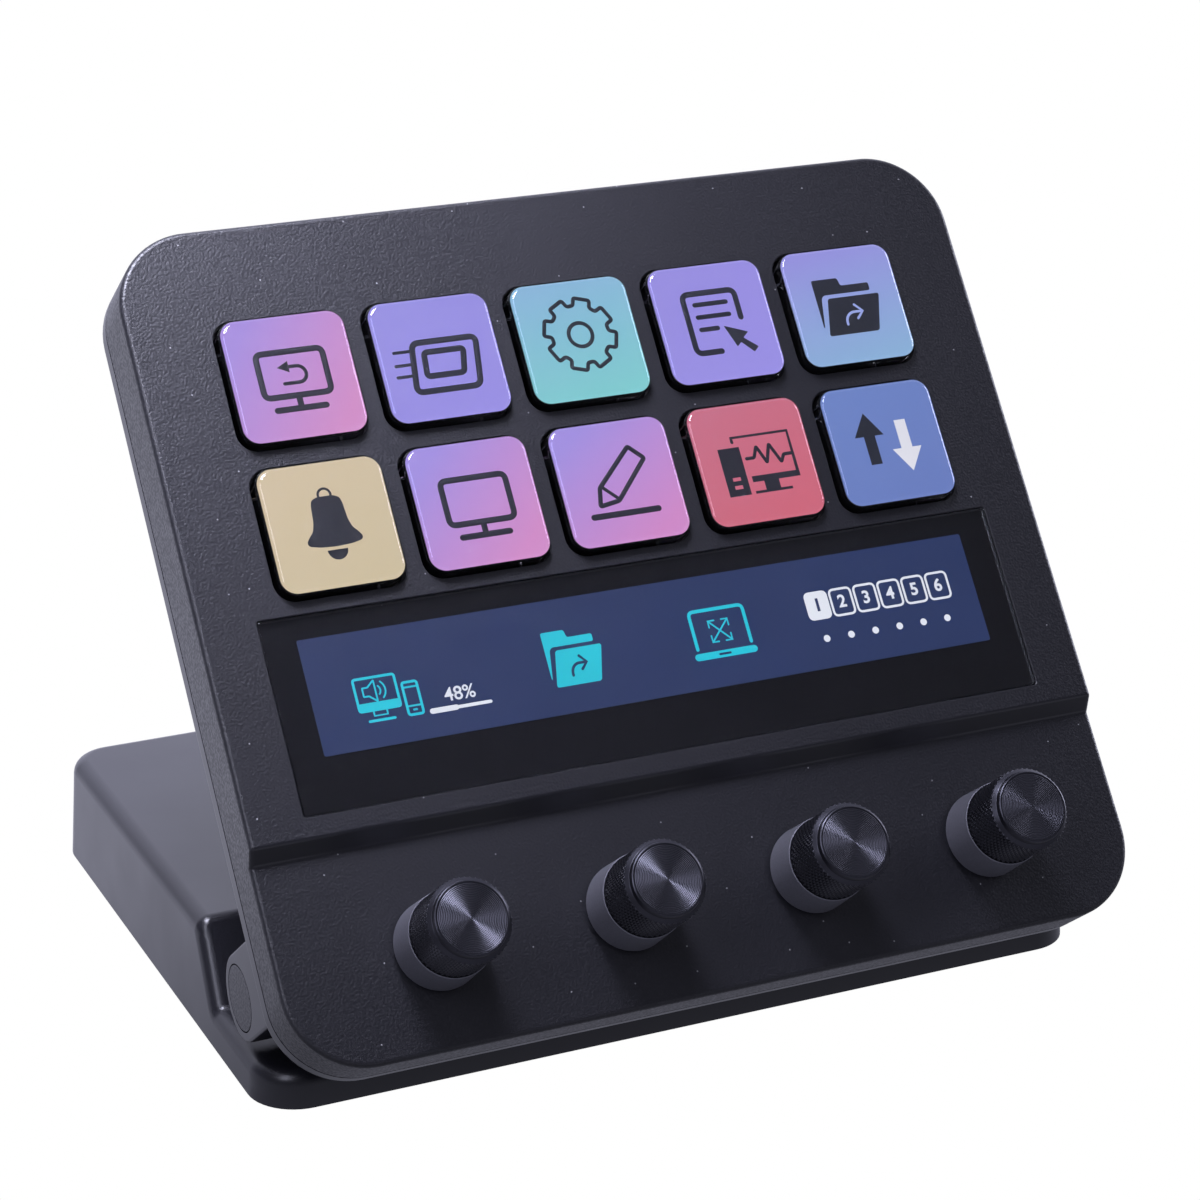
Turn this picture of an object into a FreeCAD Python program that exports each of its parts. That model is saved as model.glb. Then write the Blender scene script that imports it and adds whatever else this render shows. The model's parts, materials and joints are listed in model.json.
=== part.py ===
import FreeCAD, Part
import math
import os
import re

import Sketcher

# A desk keypad: a tilting panel with ten clear display keys, a glass touch strip
# and four push knobs, held by two friction hinges on a low weighted stand.
#
# World frame, in millimetres: +X to the user's right, +Y away from the user, +Z up.
# The origin is the centre of the underside of the stand's anti-slip pad.
#
# Panel frame: origin on the hinge axis, X to the right, Y up along the panel and Z
# out of the panel's face. The panel's pieces are drawn there and tilted as one.

SIZES = {
    "Tilt axis": {
        "hinge_height": 14.2,
        "hinge_from_front": 11.0,
        "panel_tilt": 52.0,
    },
    "Panel housing": {
        "face_border_side": 12.8,
        "face_border_top": 15.14,
        "panel_below_axis": 16.7,
        "panel_corner": 12.0,
        "back_from_axis": 11.1,
        "rear_depth": 3.8,
        "front_depth": 10.0,
        "shell_wall": 2.0,
        "deck_drop": 2.3,
        "ramp_top": 15.9,
        "ramp_length": 2.1,
        "front_edge_radius": 0.8,
        "back_edge_radius": 1.6,
        "parting_groove": 0.35,
        "post_radius": 2.4,
        "post_inset_side": 8.9,
        "post_inset_end": 6.7,
        "side_post_inset": 4.3,
        "side_post_place": 45.0,
        "standoff_radius": 2.2,
    },
    "Keys": {
        "key_size": 19.4,
        "key_corner": 2.7,
        "key_proud": 1.95,
        "key_edge_radius": 0.6,
        "key_space_across": 3.3,
        "key_space_up": 3.52,
        "key_field_gap": 2.515,
        "key_gap": 0.4,
        "key_flange": 0.9,
        "key_flange_thickness": 1.2,
        "key_flange_gap": 0.15,
        "key_core_inset": 0.6,
        "key_travel": 0.8,
        "key_stop_gap": 0.15,
        "well_gap": 0.25,
        "well_rib": 1.0,
        "window_gap": 0.4,
    },
    "Touch strip and display": {
        "glass_border": 5.1,
        "glass_height": 28.75,
        "glass_thickness": 1.1,
        "glass_centre": 33.45,
        "glass_corner": 0.4,
        "glass_gap": 0.15,
        "strip_inset": 1.1,
        "strip_height": 17.3,
        "strip_centre": 35.8,
        "strip_margin": 0.7,
        "strip_corner": 0.6,
        "tunnel_wall": 1.2,
        "membrane_thickness": 1.0,
        "membrane_border": 1.6,
        "key_board_thickness": 1.0,
        "display_gap": 0.2,
        "display_margin": 5.2,
        "display_thickness": 2.8,
        "display_corner": 1.0,
        "display_border": 3.0,
        "bezel_depth": 0.25,
    },
    "Boards and socket": {
        "board_thickness": 1.0,
        "board_standoff": 0.5,
        "board_inset": 4.3,
        "board_bottom": -11.0,
        "board_gap": 3.1,
        "board_corner": 2.0,
        "chip_size": 12.0,
        "chip_thickness": 0.7,
        "chip_place": 78.0,
        "ribbon_width": 22.0,
        "ribbon_thickness": 0.3,
        "ribbon_loop": 1.4,
        "ribbon_landing": 3.0,
        "socket_width": 8.94,
        "socket_height": 3.26,
        "socket_wall": 0.3,
        "socket_depth": 7.0,
        "socket_mouth_depth": 6.2,
        "socket_recess": 0.2,
        "socket_from_top": 6.2,
        "socket_hole_gap": 0.3,
        "tongue_width": 6.7,
        "tongue_thickness": 0.7,
        "tongue_length": 5.2,
        "socket_board_width": 24.0,
        "socket_board_height": 6.0,
        "socket_board_thickness": 1.0,
        "socket_post_radius": 1.8,
        "socket_post_spacing": 18.0,
    },
    "Knobs": {
        "knob_end_inset": 23.74,
        "knob_row": -1.9,
        "knob_lift": 0.65,
        "knob_height": 16.1,
        "knob_skirt_radius": 6.6,
        "knob_skirt_top_radius": 6.35,
        "knob_skirt_height": 6.9,
        "knob_skirt_step": 0.25,
        "knob_grip_radius": 6.15,
        "knob_rim_radius": 6.25,
        "knob_rim_height": 0.35,
        "knob_grip_top": 14.8,
        "knob_shoulder_radius": 5.5,
        "knob_shoulder_height": 15.65,
        "knob_top_radius": 5.2,
        "knob_hollow_radius": 5.0,
        "knob_hollow_depth": 4.0,
        "knob_bore_depth": 11.0,
        "knob_foot_chamfer": 0.3,
        "knob_travel": 0.5,
        "shaft_radius": 3.0,
        "shaft_fit": 0.02,
        "shaft_running_gap": 0.05,
        "shaft_end_gap": 0.25,
        "shaft_flat": 1.5,
        "encoder_size": 11.7,
        "encoder_height": 4.6,
        "encoder_floor": 0.5,
        "encoder_corner": 0.5,
        "bushing_radius": 3.45,
        "bushing_height": 5.2,
        "bushing_gap": 0.3,
        "plunger_radius": 3.8,
        "plunger_thickness": 0.8,
        "plunger_gap": 0.1,
    },
    "Hinges": {
        "ear_radius": 6.5,
        "ear_width": 9.0,
        "ear_inset": 0.9,
        "ear_edge_radius": 0.5,
        "cap_radius": 4.85,
        "cap_thickness": 1.4,
        "cap_groove": 0.2,
        "pin_radius": 2.5,
        "pin_fit": 0.02,
        "pin_running_gap": 0.05,
        "pin_head_radius": 4.4,
        "pin_head_thickness": 1.5,
        "pin_tail": 0.6,
        "knuckle_radius": 6.1,
        "knuckle_width": 10.0,
        "knuckle_gap": 0.4,
        "washer_radius": 4.6,
        "washer_thickness": 0.5,
        "washer_gap": 0.1,
        "nut_across_corners": 8.1,
        "nut_thickness": 2.8,
    },
    "Stand": {
        "stand_side_inset": 0.4,
        "stand_depth": 102.0,
        "stand_corner": 7.5,
        "stand_draft": 1.1,
        "stand_lift": 0.5,
        "block_height": 17.0,
        "block_from_front": 23.6,
        "block_edge_radius": 2.5,
        "block_foot_radius": 1.5,
        "plate_height": 6.0,
        "plate_edge_radius": 2.2,
        "stand_wall": 2.6,
        "stand_top_wall": 2.2,
        "hollow_from_face": 3.0,
        "cover_thickness": 2.0,
        "cover_gap": 0.15,
        "pad_thickness": 1.0,
        "pad_inset": 5.0,
        "pad_corner": 6.0,
        "boss_radius": 3.8,
        "boss_height": 1.2,
        "boss_inset_side": 10.5,
        "boss_inset_back": 9.0,
        "boss_inset_front": 5.8,
        "ballast_gap": 4.0,
        "ballast_thickness": 4.0,
        "ballast_corner": 3.0,
    },
    "Fasteners": {
        "screw_radius": 1.1,
        "screw_head_radius": 2.2,
        "screw_head_height": 1.1,
        "screw_length": 6.0,
        "screw_gap": 0.1,
        "screw_end_gap": 0.8,
        "counterbore_gap": 0.3,
        "counterbore_depth": 1.2,
    },
    "Cutting": {
        "overrun": 1.0,
    },
}

KEY_COLUMNS = 5
KEY_ROWS = 2
KNOBS = 4
WASHERS = 3
HEXAGON = 6
SIDES = ("left", "right")
TOLERANCE = 1e-4

ALIASES = {alias for group in SIZES.values() for alias in group}

# Levels in the panel frame, measured from the hinge axis along the panel's normal.
BACK = "back_from_axis"
INNER_BACK = "(back_from_axis + shell_wall)"
PARTING = "(back_from_axis + rear_depth)"
FRONT = "(back_from_axis + rear_depth + front_depth)"
INNER_FRONT = f"({FRONT} - shell_wall)"
DECK = f"({FRONT} - deck_drop)"
INNER_DECK = f"({DECK} - shell_wall)"
FLANGE_TOP = f"({INNER_FRONT} - key_flange_gap)"
FLANGE_BOTTOM = f"({FLANGE_TOP} - key_flange_thickness)"
MEMBRANE_TOP = f"({FLANGE_BOTTOM} - key_travel - key_stop_gap)"
KEY_BOARD_TOP = f"({MEMBRANE_TOP} - membrane_thickness)"
DISPLAY_TOP = f"({KEY_BOARD_TOP} - key_board_thickness - display_gap)"
DISPLAY_BACK = f"({DISPLAY_TOP} - display_thickness)"
CORE_BOTTOM = f"({DISPLAY_TOP} + key_travel + key_stop_gap)"
BOARD_BACK = f"({INNER_BACK} + board_standoff)"
BOARD_TOP = f"({BOARD_BACK} + board_thickness)"

# The panel's outline follows from the field of keys, and the stand's from the panel.
KEY_PITCH_ACROSS = "(key_size + key_space_across)"
KEY_PITCH_UP = "(key_size + key_space_up)"
KEY_FIELD_WIDTH = f"({KEY_COLUMNS - 1} * {KEY_PITCH_ACROSS} + key_size)"
KEY_FIELD_HEIGHT = f"({KEY_ROWS - 1} * {KEY_PITCH_UP} + key_size)"
KEY_FIELD_LOW = "(glass_centre + glass_height / 2 + key_field_gap)"
KEY_FIELD_HIGH = f"({KEY_FIELD_LOW} + {KEY_FIELD_HEIGHT})"
KEY_FIELD_CENTRE = f"(({KEY_FIELD_LOW} + {KEY_FIELD_HIGH}) / 2)"
PANEL_WIDTH = f"({KEY_FIELD_WIDTH} + 2 * face_border_side)"
PANEL_TOP = f"({KEY_FIELD_HIGH} + face_border_top)"
PANEL_HEIGHT = f"({PANEL_TOP} + panel_below_axis)"
STRIP_WIDTH = f"({KEY_FIELD_WIDTH} - 2 * strip_inset)"
GLASS_WIDTH = f"({STRIP_WIDTH} + 2 * glass_border)"
DISPLAY_WIDTH = f"({KEY_FIELD_WIDTH} + 2 * display_margin)"
DISPLAY_LOW = "(strip_centre - strip_height / 2 - display_margin)"
DISPLAY_HIGH = f"({KEY_FIELD_HIGH} + display_margin)"
DISPLAY_HEIGHT = f"({DISPLAY_HIGH} - {DISPLAY_LOW})"
DISPLAY_CENTRE = f"(({DISPLAY_LOW} + {DISPLAY_HIGH}) / 2)"
STAND_WIDTH = f"({PANEL_WIDTH} - 2 * stand_side_inset)"

# Places along the panel and across it.
PANEL_MIDDLE = f"(({PANEL_TOP} - panel_below_axis) / 2)"
POST_X = f"({PANEL_WIDTH} / 2 - post_inset_side)"
POST_LOW = "(post_inset_end - panel_below_axis)"
POST_HIGH = f"({PANEL_TOP} - post_inset_end)"
SIDE_POST_X = f"({PANEL_WIDTH} / 2 - side_post_inset)"
SOCKET_Y = f"({PANEL_TOP} - socket_from_top)"
MAIN_BOARD_WIDTH = f"({DISPLAY_WIDTH} - 2 * board_inset)"
MAIN_BOARD_HIGH = f"({SOCKET_Y} - socket_board_height / 2 - board_gap)"
KEY_OPENING = "(key_size + 2 * key_gap)"
KEY_FLANGE_SIZE = "(key_size + 2 * key_flange)"
KEY_WELL = "(key_size + 2 * key_flange + 2 * well_gap)"
KEY_CORE = "(key_size - 2 * key_core_inset)"
KEY_WINDOW = "(key_size - 2 * key_core_inset + 2 * window_gap)"
FIRST_KEY_X = f"(-{KEY_COLUMNS - 1} / 2 * {KEY_PITCH_ACROSS})"
FIRST_KEY_Y = f"({KEY_FIELD_LOW} + key_size / 2)"
FIRST_KNOB_X = f"(knob_end_inset - {PANEL_WIDTH} / 2)"
KNOB_PITCH = f"(-2 * {FIRST_KNOB_X} / {KNOBS - 1})"

# Knob levels: the skirt's foot stands clear of the deck by more than the push.
KNOB_FOOT = f"({DECK} + knob_lift)"
PLUNGER_FOOT = f"({BOARD_TOP} + encoder_floor + knob_travel + plunger_gap)"
SHAFT_FOOT = f"({PLUNGER_FOOT} + plunger_thickness + shaft_running_gap)"
SHAFT_TOP = f"({KNOB_FOOT} + knob_bore_depth - shaft_end_gap)"

# Hinge places along X, from the ear's outer face inwards.
EAR_OUTER = f"({PANEL_WIDTH} / 2 - ear_inset)"
EAR_INNER = f"({EAR_OUTER} - ear_width)"
HEAD_OUTER = f"({EAR_OUTER} - cap_thickness)"
HEAD_INNER = f"({HEAD_OUTER} - pin_head_thickness)"
KNUCKLE_OUTER = f"({EAR_INNER} - knuckle_gap)"
KNUCKLE_INNER = f"({KNUCKLE_OUTER} - knuckle_width)"
STACK_OUTER = f"({KNUCKLE_INNER} - washer_gap)"
NUT_OUTER = f"({STACK_OUTER} - {WASHERS} * washer_thickness)"
NUT_INNER = f"({NUT_OUTER} - nut_thickness)"
PIN_END = f"({NUT_INNER} - pin_tail)"

# Stand levels and places.
HINGE_Y = "(hinge_from_front - stand_depth / 2)"
BLOCK_FOOT_Y = "(block_from_front - stand_depth / 2)"
BLOCK_SLOPE = "tan(panel_tilt)"
BLOCK_BROW_Y = f"({BLOCK_FOOT_Y} + (block_height - plate_height) / {BLOCK_SLOPE})"
HOLLOW_FRONT_Y = f"({BLOCK_BROW_Y} + hollow_from_face)"
COVER_TOP = "(stand_lift + cover_thickness)"
BOSS_TOP = f"({COVER_TOP} + boss_height)"
HOLLOW_BACK_Y = "(stand_depth / 2 - stand_wall)"
BOSS_X = f"({STAND_WIDTH} / 2 - boss_inset_side)"
BOSS_BACK_Y = "(stand_depth / 2 - boss_inset_back)"
BOSS_FRONT_Y = f"({HOLLOW_FRONT_Y} + boss_inset_front)"
HEAD_SEAT = "(pad_thickness + counterbore_depth)"

PANEL_PLACEMENT = (
    f"placement(vector(0; {HINGE_Y}; hinge_height);"
    " rotation(vector(1; 0; 0); panel_tilt))"
)

doc = FreeCAD.newDocument("keypad")
sheet = doc.addObject("Spreadsheet::Sheet", "Sizes")
nodes = []


# Document helpers


def fill_sheet():
    """Writes each size into the sheet as text, under its own alias."""
    row = 1
    for group, sizes in SIZES.items():
        sheet.set(f"A{row}", group)
        row += 1
        for alias, value in sizes.items():
            sheet.set(f"A{row}", alias)
            sheet.set(f"B{row}", str(value))
            sheet.setAlias(f"B{row}", alias)
            row += 1
    doc.recompute()


def in_sheet(expression):
    """The expression with each size's alias pointed at the sheet."""
    return re.sub(
        r"[a-z][a-z_]+",
        lambda word: f"Sizes.{word.group()}" if word.group() in ALIASES else word.group(),
        str(expression),
    )


def number(expression):
    """The value that an expression of sizes has now."""
    return float(sheet.evalExpression(in_sheet(expression)))


def bind(thing, path, expression):
    thing.setExpression(path, in_sheet(expression))


def vector(x=0, y=0, z=0):
    return FreeCAD.Vector(x, y, z)


def keep(thing, name, in_panel=False):
    """Marks a finished object as the node of that name and puts it in its frame."""
    thing.Label = name
    if in_panel:
        bind(thing, "Placement", PANEL_PLACEMENT)
    nodes.append(thing)
    return thing


# Sketch helpers


def new_body(name):
    return doc.addObject("PartDesign::Body", name)


def origin_plane(body, role):
    return next(f for f in body.Origin.OriginFeatures if f.Role == role)


def new_sketch(body, name, role="XY_Plane", x="0", y="0", level="0"):
    """A sketch on one of the body's origin planes, moved by x, y and level."""
    sketch = body.newObject("Sketcher::SketchObject", name)
    sketch.AttachmentSupport = (origin_plane(body, role), [""])
    sketch.MapMode = "FlatFace"
    bind(sketch, "AttachmentOffset.Base.x", x)
    bind(sketch, "AttachmentOffset.Base.y", y)
    bind(sketch, "AttachmentOffset.Base.z", level)
    return sketch


def dimension(sketch, label, kind, geometry, expression):
    """Adds a named dimension and binds it to the sheet."""
    index = sketch.addConstraint(Sketcher.Constraint(kind, *geometry, number(expression)))
    sketch.renameConstraint(index, label)
    bind(sketch, f"Constraints.{label}", expression)


def draw_circle(sketch, radius, x="0", y="0"):
    index = sketch.addGeometry(
        Part.Circle(vector(number(x), number(y)), vector(z=1), number(radius)), False
    )
    dimension(sketch, f"radius_{index}", "Radius", (index,), radius)
    dimension(sketch, f"x_{index}", "DistanceX", (-1, 1, index, 3), x)
    dimension(sketch, f"y_{index}", "DistanceY", (-1, 1, index, 3), y)


def draw_rounded_rectangle(sketch, width, height, corner):
    """A rounded rectangle centred on the sketch's origin."""
    half_w, half_h, r = number(width) / 2, number(height) / 2, number(corner)
    start = sketch.GeometryCount
    signs = [(1, -1), (1, 1), (-1, 1), (-1, -1)]
    for turn, (sx, sy) in enumerate(signs):
        along_x = turn % 2 == 0
        px, py = signs[turn - 1]
        reach_x = half_w - r if along_x else half_w
        reach_y = half_h if along_x else half_h - r
        begin = vector(px * reach_x, py * reach_y)
        end = vector(sx * reach_x, sy * reach_y)
        centre = vector(sx * (half_w - r), sy * (half_h - r))
        angle = math.radians(90 * turn - 90)
        arc = Part.ArcOfCircle(Part.Circle(centre, vector(z=1), r), angle, angle + math.radians(90))
        sketch.addGeometry(Part.LineSegment(begin, end), False)
        sketch.addGeometry(arc, False)
    lines = [start + 2 * turn for turn in range(4)]
    arcs = [line + 1 for line in lines]
    rules = [
        Sketcher.Constraint("Tangent", start + i, 2, start + (i + 1) % 8, 1)
        for i in range(8)
    ]
    rules += [Sketcher.Constraint("Horizontal", line) for line in lines[::2]]
    rules += [Sketcher.Constraint("Vertical", line) for line in lines[1::2]]
    rules += [Sketcher.Constraint("Equal", arcs[0], arc) for arc in arcs[1:]]
    rules.append(Sketcher.Constraint("Symmetric", arcs[0], 3, arcs[2], 3, -1, 1))
    sketch.addConstraint(rules)
    dimension(sketch, f"corner_{start}", "Radius", (arcs[0],), corner)
    dimension(sketch, f"width_{start}", "DistanceX", (lines[3], 1, lines[1], 1), width)
    dimension(sketch, f"height_{start}", "DistanceY", (lines[0], 1, lines[2], 1), height)


def draw_slot(sketch, width, height):
    """A slot with round ends, centred on the sketch's origin and lying along its X."""
    r = number(height) / 2
    reach = number(width) / 2 - r
    right = Part.ArcOfCircle(Part.Circle(vector(reach), vector(z=1), r), -math.pi / 2, math.pi / 2)
    left = Part.ArcOfCircle(Part.Circle(vector(-reach), vector(z=1), r), math.pi / 2, 3 * math.pi / 2)
    start = sketch.GeometryCount
    sketch.addGeometry(Part.LineSegment(vector(-reach, -r), vector(reach, -r)), False)
    sketch.addGeometry(right, False)
    sketch.addGeometry(Part.LineSegment(vector(reach, r), vector(-reach, r)), False)
    sketch.addGeometry(left, False)
    rules = [
        Sketcher.Constraint("Tangent", start + i, 2, start + (i + 1) % 4, 1)
        for i in range(4)
    ]
    rules.append(Sketcher.Constraint("Horizontal", start))
    rules.append(Sketcher.Constraint("Equal", start + 1, start + 3))
    rules.append(Sketcher.Constraint("Symmetric", start + 1, 3, start + 3, 3, -1, 1))
    sketch.addConstraint(rules)
    dimension(sketch, f"end_{start}", "Radius", (start + 1,), f"({height}) / 2")
    dimension(
        sketch, f"reach_{start}", "DistanceX", (start + 3, 3, start + 1, 3), f"({width}) - ({height})"
    )


def draw_outline(sketch, points):
    """A closed outline of straight lines through points written in named sizes."""
    places = [vector(number(x), number(y)) for x, y in points]
    start = sketch.GeometryCount
    for i, place in enumerate(places):
        sketch.addGeometry(Part.LineSegment(place, places[(i + 1) % len(places)]), False)
    rules = [
        Sketcher.Constraint("Coincident", start + i, 2, start + (i + 1) % len(places), 1)
        for i in range(len(places))
    ]
    sketch.addConstraint(rules)
    for i, (x, y) in enumerate(points):
        dimension(sketch, f"x_{start + i}", "DistanceX", (-1, 1, start + i, 1), x)
        dimension(sketch, f"y_{start + i}", "DistanceY", (-1, 1, start + i, 1), y)


def draw_rectangle(sketch, width, low, high):
    """A sharp rectangle from low to high, centred across the sketch's X."""
    right = f"({width}) / 2"
    draw_outline(
        sketch, [(f"-{right}", low), (right, low), (right, high), (f"-{right}", high)]
    )


def draw_lug(sketch, radius, foot):
    """A lug round the sketch's origin with straight flanks down its Y to foot."""
    r, low = number(radius), number(foot)
    start = sketch.GeometryCount
    sign = 1 if low > 0 else -1
    half_turn = (math.pi, 2 * math.pi) if low > 0 else (0, math.pi)
    sketch.addGeometry(
        Part.ArcOfCircle(Part.Circle(vector(), vector(z=1), r), *half_turn), False
    )
    sketch.addGeometry(Part.LineSegment(vector(r * sign), vector(r * sign, low)), False)
    sketch.addGeometry(Part.LineSegment(vector(r * sign, low), vector(-r * sign, low)), False)
    sketch.addGeometry(Part.LineSegment(vector(-r * sign, low), vector(-r * sign)), False)
    sketch.addConstraint(
        [
            Sketcher.Constraint("Tangent", start, 2, start + 1, 1),
            Sketcher.Constraint("Coincident", start + 1, 2, start + 2, 1),
            Sketcher.Constraint("Coincident", start + 2, 2, start + 3, 1),
            Sketcher.Constraint("Tangent", start + 3, 2, start, 1),
            Sketcher.Constraint("Vertical", start + 1),
            Sketcher.Constraint("Horizontal", start + 2),
            Sketcher.Constraint("Coincident", start, 3, -1, 1),
        ]
    )
    dimension(sketch, f"radius_{start}", "Radius", (start,), radius)
    dimension(sketch, f"foot_{start}", "DistanceY", (-1, 1, start + 2, 1), foot)


# Feature helpers


def pad(body, sketch, length, up=True):
    feature = body.newObject("PartDesign::Pad", f"{sketch.Name}_pad")
    feature.Profile = sketch
    feature.Reversed = not up
    bind(feature, "Length", length)
    doc.recompute()
    return feature


def pocket(body, sketch, depth, up=False):
    feature = body.newObject("PartDesign::Pocket", f"{sketch.Name}_pocket")
    feature.Profile = sketch
    feature.Reversed = up
    bind(feature, "Length", depth)
    doc.recompute()
    return feature


def pocket_both_ways(body, sketch, depth):
    feature = body.newObject("PartDesign::Pocket", f"{sketch.Name}_pocket")
    feature.Profile = sketch
    feature.SideType = "Symmetric"
    bind(feature, "Length", depth)
    doc.recompute()
    return feature


def revolve(body, sketch):
    feature = body.newObject("PartDesign::Revolution", f"{sketch.Name}_turned")
    feature.Profile = sketch
    feature.ReferenceAxis = (sketch, ["V_Axis"])
    feature.Angle = 360
    doc.recompute()
    return feature


def row_pattern(body, feature, sketch, pitch, count, second_pitch=None, second_count=1):
    """Repeats a feature along its sketch's X and, where asked, along its Y."""
    pattern = body.newObject("PartDesign::LinearPattern", f"{feature.Name}_row")
    pattern.Originals = [feature]
    pattern.Direction = (sketch, ["H_Axis"])
    pattern.Occurrences = count
    bind(pattern, "Length", f"{count - 1} * {pitch}")
    if second_pitch:
        pattern.Direction2 = (sketch, ["V_Axis"])
        pattern.Occurrences2 = second_count
        bind(pattern, "Length2", f"{second_count - 1} * {second_pitch}")
    body.Tip = pattern
    doc.recompute()
    return pattern


def mirror_across(body, features, role="YZ_Plane"):
    mirrored = body.newObject("PartDesign::Mirrored", f"{features[0].Name}_mirrored")
    mirrored.Originals = features
    mirrored.MirrorPlane = (origin_plane(body, role), [""])
    body.Tip = mirrored
    doc.recompute()
    return mirrored


def edges_where(feature, wanted):
    """The names of a feature's edges for which wanted(edge) holds."""
    return [f"Edge{i + 1}" for i, edge in enumerate(feature.Shape.Edges) if wanted(edge)]


def fillet(body, edges, radius, label):
    base = body.Tip
    feature = body.newObject("PartDesign::Fillet", f"{body.Name}_{label}")
    feature.Base = (base, edges)
    bind(feature, "Radius", radius)
    doc.recompute()
    return feature


def at_level(level):
    """A test for edges that lie flat at one Z."""
    height = number(level)

    def test(edge):
        box = edge.BoundBox
        return abs(box.ZMin - height) < TOLERANCE and abs(box.ZMax - height) < TOLERANCE

    return test


def outside(half_x, centre_y, half_y, slack):
    """A test for edges whose middle lies near the rim of a rectangle."""
    hx, cy, hy, s = number(half_x), number(centre_y), number(half_y), number(slack)

    def test(edge):
        middle = edge.valueAt((edge.FirstParameter + edge.LastParameter) / 2)
        return abs(middle.x) > hx - s or abs(middle.y - cy) > hy - s

    return test


# Part primitives in a named place


def cylinder(name, radius, height, x="0", y="0", z="0", along_x=False):
    """A cylinder up Z or along X, with its foot at x, y, z."""
    shape = doc.addObject("Part::Cylinder", name)
    bind(shape, "Radius", radius)
    bind(shape, "Height", height)
    turn = "rotation(vector(0; 1; 0); 90)" if along_x else "rotation(vector(0; 0; 1); 0)"
    bind(shape, "Placement", f"placement(vector({x}; {y}; {z}); {turn})")
    return shape


def cut(name, base, tool):
    result = doc.addObject("Part::Cut", name)
    result.Base = base
    result.Tool = tool
    return result


def fuse(name, shapes):
    result = doc.addObject("Part::MultiFuse", name)
    result.Shapes = shapes
    return result


def group(name, shapes):
    result = doc.addObject("Part::Compound", name)
    result.Links = shapes
    return result


def on_side(side, inner, outer):
    """Start and length along X of a piece from inner to outer on that side."""
    start = inner if side == "right" else f"-({outer})"
    return start, f"({outer}) - ({inner})"


# Panel housing


def shell_outline(sketch, inset="0"):
    draw_rounded_rectangle(
        sketch,
        f"{PANEL_WIDTH} - 2 * ({inset})",
        f"{PANEL_HEIGHT} - 2 * ({inset})",
        f"panel_corner - ({inset})",
    )


def key_grid_sketch(body, name, level, side, corner):
    """A rounded square at the lower left key, ready to be repeated over the field."""
    sketch = new_sketch(body, name, x=FIRST_KEY_X, y=FIRST_KEY_Y, level=level)
    draw_rounded_rectangle(sketch, side, side, corner)
    return sketch


def cut_key_grid(body, name, level, side, corner, depth):
    sketch = key_grid_sketch(body, name, level, side, corner)
    hole = pocket(body, sketch, depth, up=True)
    row_pattern(
        body, hole, sketch, KEY_PITCH_ACROSS, KEY_COLUMNS, KEY_PITCH_UP, KEY_ROWS
    )


def post_places():
    """The six screw posts of the housing, as x and y in the panel frame."""
    corners = [(f"{sign} * {POST_X}", y) for y in (POST_LOW, POST_HIGH) for sign in (-1, 1)]
    return corners + [(f"{sign} * {SIDE_POST_X}", "side_post_place") for sign in (-1, 1)]


def make_front_cover():
    """The stepped front shell: key wells, glass seat, knob holes and screw posts."""
    body = new_body("front_cover")
    outer = new_sketch(body, "front_outer", y=PANEL_MIDDLE, level=PARTING)
    shell_outline(outer)
    pad(body, outer, "front_depth")
    step = new_sketch(body, "front_step", role="YZ_Plane")
    draw_outline(
        step,
        [
            ("-panel_below_axis - overrun", DECK),
            ("ramp_top - ramp_length", DECK),
            ("ramp_top", FRONT),
            ("ramp_top", f"{FRONT} + overrun"),
            ("-panel_below_axis - overrun", f"{FRONT} + overrun"),
        ],
    )
    pocket_both_ways(body, step, f"{PANEL_WIDTH} + 2 * overrun")
    round_front_edges(body)
    hollow = new_sketch(body, "front_hollow", y=PANEL_MIDDLE, level=PARTING)
    shell_outline(hollow, "shell_wall")
    pocket(body, hollow, f"{INNER_DECK} - {PARTING}", up=True)
    hollow_upper_deck(body)
    add_key_wells(body)
    add_strip_tunnel(body)
    add_front_posts(body)
    cut_knob_holes(body)
    keep(body, "front_cover", in_panel=True)


def round_front_edges(body):
    """The thin bright fillet round the face, on the upper deck, ramp and lower deck."""
    rim = outside(
        f"{PANEL_WIDTH} / 2", PANEL_MIDDLE, f"{PANEL_HEIGHT} / 2", "panel_corner / 2"
    )
    parting = number(PARTING)

    def wanted(edge):
        box = edge.BoundBox
        return box.ZMin > parting + TOLERANCE and rim(edge) and is_rim_edge(edge)

    fillet(body, edges_where(body.Tip, wanted), "front_edge_radius", "edge")


def is_rim_edge(edge):
    """True for edges between the face and the side wall, not across the face."""
    start, end = edge.Vertexes[0].Point, edge.Vertexes[-1].Point
    half = number(f"{PANEL_WIDTH} / 2")
    spans_face = abs(abs(start.x) - half) < TOLERANCE and abs(start.x + end.x) < TOLERANCE
    return not spans_face


def hollow_upper_deck(body):
    """The deeper room behind the raised deck, from just above the ramp to the top."""
    low = "(ramp_top + shell_wall)"
    high = f"({PANEL_TOP} - shell_wall)"
    sketch = new_sketch(body, "front_upper_hollow", y=f"({low} + {high}) / 2", level=INNER_DECK)
    draw_rounded_rectangle(
        sketch,
        f"{PANEL_WIDTH} - 2 * shell_wall",
        f"{high} - {low}",
        "panel_corner - shell_wall",
    )
    pocket(body, sketch, f"{INNER_FRONT} - {INNER_DECK}", up=True)


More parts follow.
